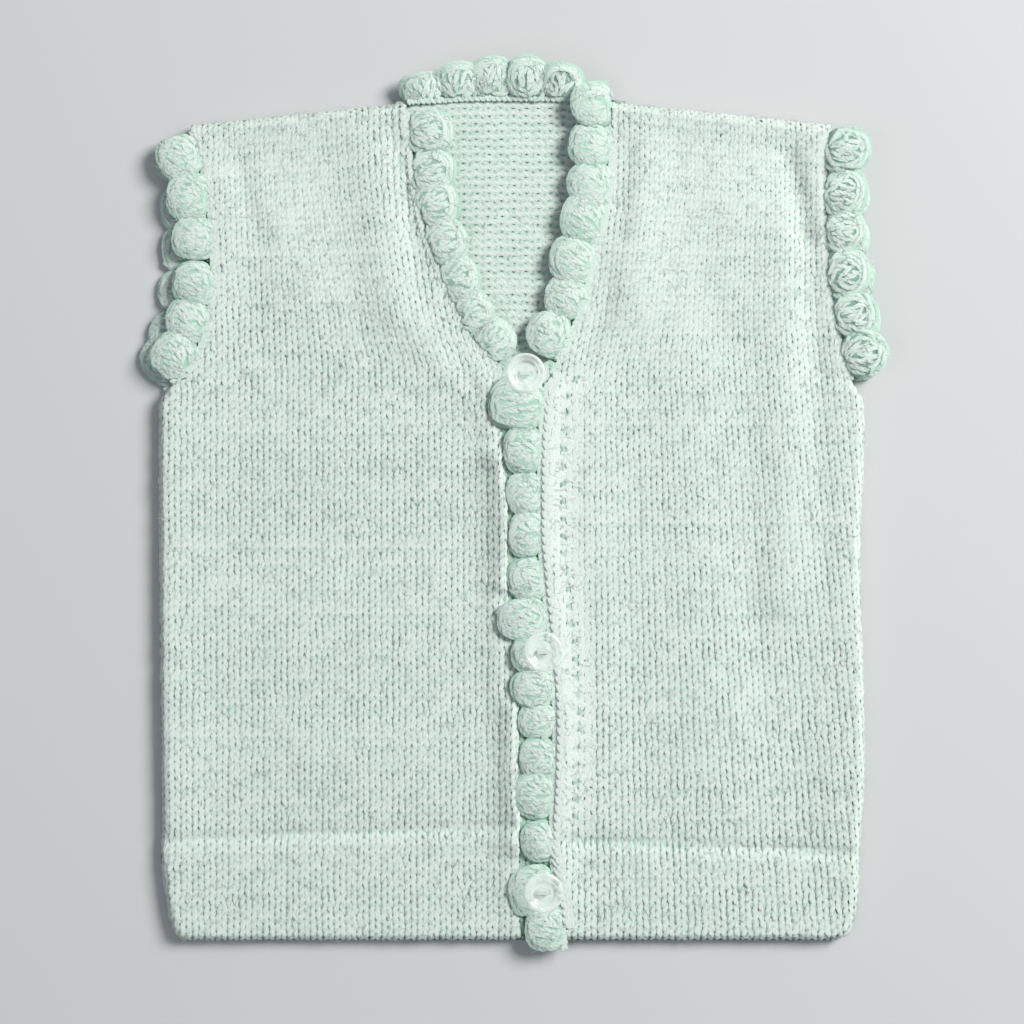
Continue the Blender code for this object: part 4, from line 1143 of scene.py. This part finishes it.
def loose_fibres(groups, count, seed):
    """Fibres that stand off the yarn of groups, as strands: each is a short arc over the cloth.

    It starts at a chosen point of the yarn, runs in a seeded direction along the cloth, and rises
    off it by part of a sine wave and bends aside by a parabola.
    """
    random = np.random.default_rng(seed)
    points, normals = [np.concatenate([group[column] for group in groups]) for column in (0, 2)]
    chosen = random.integers(0, len(points), count)
    start, normal = points[chosen], normals[chosen]
    direction = random.normal(0.0, 1.0, (count, 3))
    direction = unit(direction - np.sum(direction * normal, axis=1, keepdims=True) * normal)
    aside = np.cross(normal, direction)
    length = random.uniform(*FIBRE_LENGTH, (count, 1))
    share = np.linspace(0.0, 1.0, FIBRE_POINTS)
    rise = random.uniform(*FIBRE_RISE, (count, 1)) * np.sin(math.pi * share * FIBRE_TURN)
    bend = random.normal(0.0, FIBRE_BEND, (count, 1)) * share**2
    point = (
        start[:, None] + direction[:, None] * (length * (share - FIBRE_BACK))[..., None]
        + aside[:, None] * (length * bend)[..., None]
        + normal[:, None] * (FIBRE_OFF + rise * length * 0.5)[..., None]
    )
    strand = np.repeat(np.arange(count), FIBRE_POINTS)
    norm = np.broadcast_to(normal[:, None], point.shape).reshape(-1, 3)
    wide = np.full(count * FIBRE_POINTS, FIBRE_RADIUS)
    return point.reshape(-1, 3), strand, norm, wide, wide, np.zeros(count * FIBRE_POINTS)


# ---- Materials
def add_node(tree, kind, inputs=None, **settings):
    """Add a shader node, set its properties, and set or link its inputs by name or number."""
    node = tree.nodes.new(kind)
    for name, value in settings.items():
        setattr(node, name, value)
    for name, value in (inputs or {}).items():
        if isinstance(value, bpy.types.NodeSocket):
            tree.links.new(value, node.inputs[name])
        else:
            node.inputs[name].default_value = value
    return node


def new_material(name):
    """An empty material with its node tree."""
    made = bpy.data.materials.new(name)
    made.use_nodes = True
    made.node_tree.nodes.clear()
    return made, made.node_tree


def yarn_material(name, light, deep):
    """Acrylic baby yarn, three soft plies spun loosely: matt, with a pale sheen of loose fibres.

    Bump follows the plies round the strand and the fibres along it. Colour is deeper in random
    tufts, and holds painted shade: deeper and greener the lower the yarn lies in the cloth.
    """
    made, tree = new_material(name)
    uv = add_node(tree, "ShaderNodeUVMap", uv_map="yarn")
    split = add_node(tree, "ShaderNodeSeparateXYZ", {0: uv.outputs[0]})
    start = add_node(
        tree, "ShaderNodeMath", {0: split.outputs[1], 1: 2 * math.pi * PLIES}, operation="MULTIPLY",
    )
    spin = add_node(
        tree, "ShaderNodeMath", {0: split.outputs[0], 1: 2 * math.pi / PLY_LENGTH, 2: start.outputs[0]},
        operation="MULTIPLY_ADD",
    )
    ply = add_node(tree, "ShaderNodeMath", {0: spin.outputs[0]}, operation="SINE")
    place = add_node(tree, "ShaderNodeTexCoord")
    tuft = add_node(
        tree, "ShaderNodeTexNoise",
        {"Vector": place.outputs["Object"], "Scale": 1 / (TUFT * MM), "Detail": 3.0, "Roughness": 0.6},
    )
    relief = add_node(
        tree, "ShaderNodeMath", {0: ply.outputs[0], 1: PLY_DEPTH, 2: tuft.outputs[0]},
        operation="MULTIPLY_ADD",
    )
    bump = add_node(
        tree, "ShaderNodeBump", {"Strength": 0.5, "Distance": 0.24 * MM, "Height": relief.outputs[0]},
    )
    fibre = add_node(
        tree, "ShaderNodeMapRange",
        {"Value": tuft.outputs[0], "From Min": 0.25, "From Max": 0.6, "To Min": 0.75, "To Max": 1.0},
    )
    # Painted shade: the colour runs from deep to light as the yarn lies higher, where more light reaches
    # it, and tufts vary it a little
    lift = add_node(tree, "ShaderNodeAttribute", attribute_name="lift")
    painted_light_share = add_node(
        tree, "ShaderNodeMapRange",
        {"Value": lift.outputs["Fac"], "From Min": PAINTED_SHADE_LIFTS[0], "From Max": PAINTED_SHADE_LIFTS[1]},
        interpolation_type="SMOOTHSTEP",
    )
    lit = add_node(
        tree, "ShaderNodeMath", {0: painted_light_share.outputs[0], 1: fibre.outputs[0]}, operation="MULTIPLY",
    )
    # On a colour mix, sockets 6 and 7 are A and B, and output 2 is the colour
    colour = add_node(
        tree, "ShaderNodeMix", {0: lit.outputs[0], 6: (*deep, 1.0), 7: (*light, 1.0)},
        data_type="RGBA",
    )
    shader = add_node(
        tree, "ShaderNodeBsdfPrincipled",
        {
            "Base Color": colour.outputs[2], "Roughness": 0.9, "IOR": 1.5,
            "Sheen Weight": 0.35, "Sheen Roughness": 0.5, "Sheen Tint": (0.93, 1.0, 0.96, 1.0),
            "Specular IOR Level": 0.25, "Normal": bump.outputs[0],
        },
    )
    add_node(tree, "ShaderNodeOutputMaterial", {"Surface": shader.outputs[0]})
    return made


def ground_material(name, colour, cloth):
    """The same yarn, seen as ground behind the strands: V shapes of bump in flat coordinates."""
    made, tree = new_material(name)
    uv = add_node(tree, "ShaderNodeUVMap", uv_map="yarn")
    split = add_node(tree, "ShaderNodeSeparateXYZ", {0: uv.outputs[0]})
    wale = add_node(
        tree, "ShaderNodeMath", {0: split.outputs[0], 1: MM / cloth.wale_width}, operation="MULTIPLY",
    )
    row = add_node(
        tree, "ShaderNodeMath", {0: split.outputs[1], 1: MM / cloth.row_height}, operation="MULTIPLY",
    )
    # Distance from the edge of the wale, in wales, as a triangle wave
    leg = add_node(tree, "ShaderNodeMath", {0: wale.outputs[0], 1: 0.5}, operation="PINGPONG")
    slant = add_node(
        tree, "ShaderNodeMath", {0: leg.outputs[0], 1: -1.6, 2: row.outputs[0]}, operation="MULTIPLY_ADD",
    )
    rib = add_node(tree, "ShaderNodeMath", {0: slant.outputs[0], 1: 0.5}, operation="PINGPONG")
    across = add_node(tree, "ShaderNodeMath", {0: leg.outputs[0], 1: 2 * math.pi}, operation="MULTIPLY")
    crest = add_node(tree, "ShaderNodeMath", {0: across.outputs[0]}, operation="SINE")
    height = add_node(
        tree, "ShaderNodeMath", {0: rib.outputs[0], 1: 1.4, 2: crest.outputs[0]},
        operation="MULTIPLY_ADD",
    )
    bump = add_node(
        tree, "ShaderNodeBump", {"Strength": 1.0, "Distance": 0.4 * MM, "Height": height.outputs[0]},
    )
    shader = add_node(
        tree, "ShaderNodeBsdfPrincipled",
        {
            # Painted shade: its flat colour is a deep one, for the shade seen through the holes between
            # strands
            "Base Color": (*colour, 1.0), "Roughness": 0.95, "Sheen Weight": 0.3,
            "Sheen Roughness": 0.5, "Specular IOR Level": 0.2, "Normal": bump.outputs[0],
        },
    )
    add_node(tree, "ShaderNodeOutputMaterial", {"Surface": shader.outputs[0]})
    return made


def resin_material(name, tint):
    """Cast polyester resin, clear and polished. Light passes it to the yarn below almost unchanged."""
    made, tree = new_material(name)
    ray = add_node(tree, "ShaderNodeLightPath")
    soft = add_node(
        tree, "ShaderNodeMath", {0: ray.outputs["Is Diffuse Ray"], 1: ray.outputs["Is Shadow Ray"]},
        operation="MAXIMUM",
    )
    # Bent light would leave bright blots on the yarn, so only the rays that draw the button bend
    seen = add_node(
        tree, "ShaderNodeMath", {0: soft.outputs[0], 1: -0.92, 2: 1.0}, operation="MULTIPLY_ADD",
    )
    shader = add_node(
        tree, "ShaderNodeBsdfPrincipled",
        {
            "Base Color": (*tint, 1.0), "Roughness": 0.06, "IOR": 1.5, "Transmission Weight": 0.72,
            "Alpha": seen.outputs[0],
        },
    )
    add_node(tree, "ShaderNodeOutputMaterial", {"Surface": shader.outputs[0]})
    return made


def paper_material(name, colour):
    """Matt background paper: an even pale grey with a barely rough surface."""
    made, tree = new_material(name)
    shader = add_node(
        tree, "ShaderNodeBsdfPrincipled",
        {"Base Color": (*colour, 1.0), "Roughness": 0.9, "Specular IOR Level": 0.2},
    )
    add_node(tree, "ShaderNodeOutputMaterial", {"Surface": shader.outputs[0]})
    return made


def shared_material(name, make, *arguments):
    """The material of that name, made at its first use."""
    return bpy.data.materials.get(name) or make(name, *arguments)


def cloth_yarn(cloth):
    """The yarn as it lies in the knitted cloth."""
    return shared_material("knitted_acrylic_yarn", yarn_material, cloth.yarn_light, cloth.yarn_mottle_and_painted_shade)


def cloth_ground(cloth):
    """The ground behind the knitted cloth's stitches."""
    # Painted shade: the ground takes the deep colour, for the shade seen between the stitches
    return shared_material("knitted_ground", ground_material, cloth.yarn_mottle_and_painted_shade, cloth)


def crochet_yarn(edging):
    """The yarn as it lies in the crochet."""
    # Partly painted shade: the edging's colours are a little darker than the cloth's yarn
    return shared_material("crochet_acrylic_yarn", yarn_material, edging.yarn_light, edging.yarn_mottle_and_painted_shade)


# ---- Operators
def cloth_sizes(cloth):
    """Stitch width, row height and yarn width in millimetres."""
    return {
        "wale": cloth.wale_width / MM, "row": cloth.row_height / MM, "yarn": cloth.yarn_width / MM,
    }


def base_rows():
    """Flat y of the rows of a panel's ground cloth."""
    return np.linspace(FLAT_LOW, FLAT_HIGH, int((FLAT_HIGH - FLAT_LOW) / BASE_PITCH))


class VEST_OT_fronts(bpy.types.Operator):
    """Knit the two fronts: a thin ground cloth each, and its rows of stitches."""

    bl_idname = "vest.fronts"
    bl_label = "Fronts"

    def execute(self, context):
        settings = context.scene.knit_vest.cloth
        sizes = cloth_sizes(settings)
        yarn = cloth_yarn(settings)
        ground = cloth_ground(settings)
        count = int((FLAT_HIGH - FLAT_LOW) / sizes["row"])
        flat_rows = FLAT_LOW + (np.arange(count) + 0.5) * (FLAT_HIGH - FLAT_LOW) / count
        halves = {"lower": flat_rows[: count // 2], "upper": flat_rows[count // 2 :]}
        for number, (name, front) in enumerate(FRONTS.items()):
            def face(flat_x, flat_y, front=front):
                return front_face(front, flat_x, flat_y)

            def limits(flat_y, front=front):
                return front_limits(front, flat_y)

            def wales(wale, row_y, front=front):
                return front_wales(front, wale, row_y, sizes["wale"])

            cloth = ground_cloth(name, face, limits, base_rows(), ground, (BASE_TOP, BASE_UNDER))
            loose = []
            for part, (half, rows) in enumerate(halves.items()):
                seed = FRONT_SEEDS * number + part
                group = stitch_rows(
                    face, limits, wales, FRONT_WALES, rows, sizes, SEEDS["stitches"] + seed,
                    border=front["border"],
                )
                yarn_piece(f"{name}_stitches_{half}", [group], STITCH_SIDES, yarn)
                loose.append(loose_fibres([group], FRONT_FIBRES, SEEDS["fibres"] + seed))
            yarn_piece(f"{name}_fibres", loose, FIBRE_SIDES, yarn)
            low, high = FLAT_LOW + EDGE_CHAIN_LOW, FLAT_HIGH - EDGE_CHAIN_HIGH
            seed = SEEDS["opening chain"] + number
            chain = selvedge(face, limits, 1, low, high, sizes["yarn"], seed)
            seed = SEEDS["side chain"] + number
            from_underarm = UNDERARM_Y + EDGE_CHAIN_UNDERARM
            chain += selvedge(face, limits, 0, from_underarm, high, sizes["yarn"], seed)
            if front["border"]:
                thick = BORDER_CHAIN_YARN * sizes["yarn"]
                for seed, inset in enumerate(BORDER_CHAINS, SEEDS["border chains"]):
                    chain += selvedge(face, limits, 1, low, BORDER_CHAIN_TOP, thick, seed, inset)
            yarn_piece(f"{name}_selvedge", chain, CHAIN_SIDES, yarn)
            flat, area = cut_sizes(limits, base_rows())
        return {"FINISHED"}


class VEST_OT_back(bpy.types.Operator):
    """Knit the back: a ground cloth, and purl stitches inside the neck."""

    bl_idname = "vest.back"
    bl_label = "Back"

    def execute(self, context):
        settings = context.scene.knit_vest.cloth
        grid = flat_grid(back_limits, base_rows())
        lower = back_face(*grid, True)
        upper = back_face(*grid, False)
        upper[..., 2] = np.minimum(upper[..., 2] - BACK_GROUND, BACK_SEAM_Z)
        upper[..., 2] = np.maximum(upper[..., 2], lower[..., 2] + BACK_THINNEST)
        cloth = cloth_wall("back_cloth", grid, upper, lower, cloth_ground(settings), "back")

        def lifted(flat_x, flat_y):
            return back_face(flat_x, flat_y, False) + PURL_LIFT * UP

        def in_neck(flat_x, flat_y):
            row_y, _ = row_place(flat_y)
            left = read(RIGHT_OPENING, row_y) - PURL_TUCK
            return (flat_x > left) & (flat_x < read(LEFT_OPENING, row_y) + PURL_TUCK)

        rows = np.arange(PURL_LOW, FLAT_HIGH - PURL_HIGH, PURL_SIZES["row"])
        group = stitch_rows(
            lifted, back_limits, lambda wale, row_y: wale * PURL_SIZES["wale"], PURL_WALES, rows,
            PURL_SIZES, SEEDS["purl"], loop=PURL_LOOP, keep=in_neck,
        )
        purl = yarn_piece("back_purl_stitches", [group], STITCH_SIDES, cloth_yarn(settings))
        flat, area = cut_sizes(back_limits, base_rows())
        return {"FINISHED"}


class VEST_OT_edgings(bpy.types.Operator):
    """Crochet the shell edgings round the neck, the armholes and down the front."""

    bl_idname = "vest.edgings"
    bl_label = "Edgings"

    def execute(self, context):
        vest = context.scene.knit_vest
        yarn_width = vest.edging.yarn_width / MM
        yarn = crochet_yarn(vest.edging)
        # Painted shade: the pads take the deep colour, for the shade between the shells' strands
        pad = shared_material("crochet_ground", ground_material, vest.edging.yarn_mottle_and_painted_shade, vest.cloth)
        fibres = []
        for number, (name, frames, reaches) in enumerate(edging_rows()):
            change = dict(zip(CHANGE_COLUMNS, SHELL_CHANGES.get(name, NO_CHANGE)))
            longer = np.linspace(change["first_longer"], change["last_longer"], len(reaches))
            seed = SEEDS["shells"] + number
            frames, reaches = uneven_shells(frames, longer * reaches, change["broader"], seed)
            groups = shell_strands(frames, reaches, SEEDS["shell yarn"] + number)
            root = slip_stitches(*frames[5], yarn_width, change["bare"])
            yarn_piece(f"{name}_yarn", groups + root, SHELL_SIDES, yarn)
            points, faces = shell_pads(frames, reaches)
            make_piece(f"{name}_pads", points, faces, pad, None, [name])
            seed = SEEDS["shell fibres"] + number
            fibres.append(loose_fibres(groups, SHELL_FIBRES * len(reaches), seed))
        yarn_piece("edging_fibres", fibres, FIBRE_SIDES, yarn)
        return {"FINISHED"}


class VEST_OT_band(bpy.types.Operator):
    """Crochet the plain band that carries the buttons."""

    bl_idname = "vest.band"
    bl_label = "Button band"

    def execute(self, context):
        vest = context.scene.knit_vest
        settings = vest.cloth
        sizes = cloth_sizes(settings)
        low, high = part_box("button_band")
        bottom, top = low.y / MM, high.y / MM
        under, over = low.z / MM, high.z / MM
        rows = np.linspace(bottom, top, BAND_GRID)

        def face(flat_x, flat_y):
            return np.stack([flat_x, flat_y, np.full(np.shape(flat_x), over)], axis=-1)

        def puffed(flat_x, flat_y):
            return face(flat_x, flat_y) + BAND_PUFF * UP

        def limits(flat_y):
            return read(RIGHT_OPENING, flat_y) - BAND_TUCK, read(LEFT_OPENING, flat_y) + BAND_TUCK

        # Painted shade: the band shows only in the slits beside the shells, so its ground and lower
        # stitches take darker, saturated greens
        shade = shared_material("crochet_depths", ground_material, settings.yarn_slit_painted_shade, settings)
        ground_cloth("button_band", face, limits, rows, shade, (BAND_GROUND, over - under))
        strand = shared_material(
            "band_acrylic_yarn", yarn_material, settings.yarn_mottle_and_painted_shade, settings.yarn_slit_painted_shade,
        )
        # Its upper end, which shows below the neck, is worked closer and in the shells' own yarn, without
        # the painted shade of the rest
        light = crochet_yarn(vest.edging)
        parts = {
            "stitches": (np.arange(bottom + BAND_LOW, top - BAND_END, sizes["row"]), strand),
            "end": (np.arange(top - BAND_END, top + BAND_HIGH, sizes["row"] / 2), light),
        }
        for seed, (part, (flat_rows, material)) in enumerate(parts.items(), SEEDS["band"]):
            group = stitch_rows(
                puffed, limits, lambda wale, row_y: wale * sizes["wale"], BAND_WALES, flat_rows, sizes,
                seed,
            )
            yarn_piece(f"button_band_{part}", [group], STITCH_SIDES, material)
        return {"FINISHED"}


def smooth_rise(inner, outer, low, height, share):
    """Section points (radius, height) on a smooth step between two radii, at shares of it."""
    return np.stack([inner + (outer - inner) * share, low + height * step(share, 0.0, 1.0)], axis=1)


def button_outline(radius):
    """Half section of a button as (radius, height), from the dish's middle out and under.

    The dish's floor rises to its lip by a smooth step, the lip rises to the rim by another, and the
    edge is a half circle drawn out to the button's thickness.
    """
    dish = smooth_rise(
        BUTTON_DISH - BUTTON_DISH_SLOPE, BUTTON_DISH, BUTTON_FLOOR, BUTTON_DISH_DEPTH,
        np.linspace(0.0, 1.0, BUTTON_POINTS),
    )
    lip = smooth_rise(
        BUTTON_DISH, radius - BUTTON_EDGE, BUTTON_THICKNESS, BUTTON_LIP,
        np.linspace(*BUTTON_LIP_SPAN, BUTTON_POINTS),
    )
    turns = np.radians(np.linspace(90.0, -90.0, BUTTON_EDGE_POINTS))
    middle = np.where(turns > 0, BUTTON_THICKNESS + BUTTON_LIP - BUTTON_EDGE, BUTTON_EDGE)
    edge = np.stack([np.cos(turns), np.sin(turns)], axis=1) * BUTTON_EDGE
    edge += np.stack([np.full(len(turns), radius - BUTTON_EDGE), middle], axis=1)
    return np.concatenate([[[BUTTON_CAP, BUTTON_FLOOR]], dish, lip, edge, [[BUTTON_CAP, 0.0]]])


def turned_ring(profile, sides):
    """Points and faces of a profile turned round the upright axis, closed by a flat cap at each end."""
    turn = np.linspace(0.0, 2 * math.pi, sides, endpoint=False)
    radius, height = profile[:, None, 0], profile[:, None, 1]
    circle = np.broadcast_arrays(radius * np.cos(turn), radius * np.sin(turn), height)
    index = np.arange(len(profile) * sides).reshape(len(profile), sides)
    after = np.roll(index, -1, axis=1)
    quads = np.stack([index[:-1], index[1:], after[1:], after[:-1]], axis=-1).reshape(-1, 4)
    return np.stack(circle, axis=-1).reshape(-1, 3), [quads, np.stack([index[0], index[-1][::-1]])]


def drill(button, cutters):
    """Cut other pieces out of a button, and delete them."""
    for cutter in cutters:
        cut = button.modifiers.new("holes", "BOOLEAN")
        cut.operation = "DIFFERENCE"
        cut.solver = "EXACT"
        cut.object = cutter
    depsgraph = bpy.context.evaluated_depsgraph_get()
    made = bpy.data.meshes.new_from_object(button.evaluated_get(depsgraph))
    button.modifiers.clear()
    button.data = made
    for cutter in cutters:
        bpy.data.objects.remove(cutter)


def plain_object(name, points, faces):
    """An object from points in metres and lists of face corners."""
    mesh = bpy.data.meshes.new(name)
    mesh.from_pydata(points, [], faces)
    made = bpy.data.objects.new(name, mesh)
    bpy.context.scene.collection.objects.link(made)
    return made


class VEST_OT_buttons(bpy.types.Operator):
    """Turn the clear buttons, drill them, and sew them on."""

    bl_idname = "vest.buttons"
    bl_label = "Buttons"

    def execute(self, context):
        vest = context.scene.knit_vest
        resin = shared_material("cast_clear_resin", resin_material, vest.button.tint)
        points, faces = turned_ring(button_outline(vest.button.diameter / MM / 2), BUTTON_SIDES)
        pin = [(PIN_MIDDLE, PIN_TOP), (BUTTON_HOLE, PIN_TOP), (BUTTON_HOLE, PIN_LOW), (PIN_MIDDLE, PIN_LOW)]
        pin_points, pin_faces = turned_ring(np.array(pin), PIN_SIDES)
        pin_corners = [face.tolist() for group in pin_faces for face in group]
        along = np.linspace(-1.0, 1.0, THREAD_POINTS)
        across = 0.5 * BUTTON_HOLE_APART * np.clip(along * THREAD_STRETCH, -1.0, 1.0)
        drop = THREAD_DROP * np.maximum(0.0, np.abs(along) - THREAD_TURN) ** THREAD_POWER
        height = BUTTON_FLOOR + THREAD_RISE - drop
        for name, row in BUTTONS.items():
            spot = dict(zip(BUTTON_COLUMNS, row))
            cos, sin = math.cos(math.radians(spot["tilt"])), math.sin(math.radians(spot["tilt"]))
            turned = np.array([[cos, 0.0, sin], [0.0, 1.0, 0.0], [-sin, 0.0, cos]])
            centre = np.array([spot["x"], spot["y"], spot["z"]])
            made = make_piece(
                f"{name}_clear", points @ turned.T + centre, faces, resin, None, [name],
            )
            cutters = []
            for side in (-0.5, 0.5):
                moved = pin_points + np.array([side * BUTTON_HOLE_APART, 0.0, 0.0])
                placed = ((moved @ turned.T + centre) * MM).tolist()
                cutters.append(plain_object("pin", placed, pin_corners))
            drill(made, cutters)
            made.data.set_sharp_from_angle(angle=math.radians(BUTTON_SHARP))
            groups = []
            for aside in (-THREAD_RADIUS, THREAD_RADIUS):
                thread = np.stack([across, np.full(THREAD_POINTS, aside), height], axis=1)
                groups.append(plain_strand(thread @ turned.T + centre, THREAD_RADIUS, THREAD_SHADE))
            yarn_piece(f"{name}_thread", groups, CHAIN_SIDES, cloth_yarn(vest.cloth))
        return {"FINISHED"}


class VEST_OT_stage(bpy.types.Operator):
    """Lay the floor, and place the lights and the camera straight above."""

    bl_idname = "vest.stage"
    bl_label = "Stage"

    def execute(self, context):
        scene = context.scene
        stage = scene.knit_vest.stage
        half = FLOOR_HALF * MM
        corners = [(-half, -half, 0), (half, -half, 0), (half, half, 0), (-half, half, 0)]
        floor = plain_object("floor", corners, [(0, 1, 2, 3)])
        paper = shared_material("background_paper", paper_material, stage.floor_colour)
        floor.data.materials.append(paper)

        for name, row in LAMPS.items():
            spot = dict(zip(LAMP_COLUMNS, row))
            lamp = bpy.data.lights.new(name, "AREA")
            lamp.shape = "DISK"
            lamp.size = spot["breadth"] * MM
            lamp.energy = stage.key_power * spot["share"]
            lamp.color = linear(spot["colour"])[:3]
            made = bpy.data.objects.new(name, lamp)
            made.location = [value * MM for value in spot["place"]]
            x, y, z = made.location
            made.rotation_euler = (math.atan2(math.hypot(x, y), z), 0.0, math.atan2(x, -y))
            scene.collection.objects.link(made)
        world = bpy.data.worlds.new("studio")
        world.use_nodes = True
        sky = world.node_tree.nodes["Background"]
        sky.inputs["Color"].default_value = linear(SKY_COLOUR)
        sky.inputs["Strength"].default_value = SKY_STRENGTH
        scene.world = world

        camera = bpy.data.cameras.new("camera")
        camera.lens = CAMERA_LENS
        camera.sensor_width = CAMERA_SENSOR
        camera.dof.use_dof = False
        seen = bpy.data.objects.new("camera", camera)
        height = stage.view_width * CAMERA_LENS / CAMERA_SENSOR + REST_Z * MM
        seen.location = (CAMERA_X * MM, CAMERA_Y * MM, height)
        scene.collection.objects.link(seen)
        scene.camera = seen
        scene.view_settings.view_transform = "Standard"
        return {"FINISHED"}


class VEST_PT_panel(bpy.types.Panel):
    """The vest's settings and steps."""

    bl_idname = "VEST_PT_panel"
    bl_label = "Baby's knitted vest"
    bl_space_type = "VIEW_3D"
    bl_region_type = "UI"
    bl_category = "Vest"

    def draw(self, context):
        vest = context.scene.knit_vest
        for group in (vest.cloth, vest.edging, vest.button, vest.stage):
            box = self.layout.box()
            for name in group.__annotations__:
                box.prop(group, name)
        for step_class in STEPS:
            self.layout.operator(step_class.bl_idname)


STEPS = (VEST_OT_fronts, VEST_OT_back, VEST_OT_edgings, VEST_OT_band, VEST_OT_buttons, VEST_OT_stage)
CLASSES = (
    VestClothSettings, VestEdgingSettings, VestButtonSettings, VestStageSettings, VestSettings,
    *STEPS, VEST_PT_panel,
)


def register():
    for each in CLASSES:
        bpy.utils.register_class(each)
    bpy.types.Scene.knit_vest = bpy.props.PointerProperty(type=VestSettings)


def unregister():
    del bpy.types.Scene.knit_vest
    for each in reversed(CLASSES):
        bpy.utils.unregister_class(each)


def main():
    register()
    bpy.ops.vest.fronts()
    bpy.ops.vest.back()
    bpy.ops.vest.edgings()
    bpy.ops.vest.band()
    bpy.ops.vest.buttons()
    bpy.ops.vest.stage()


if __name__ == "__main__":
    main()
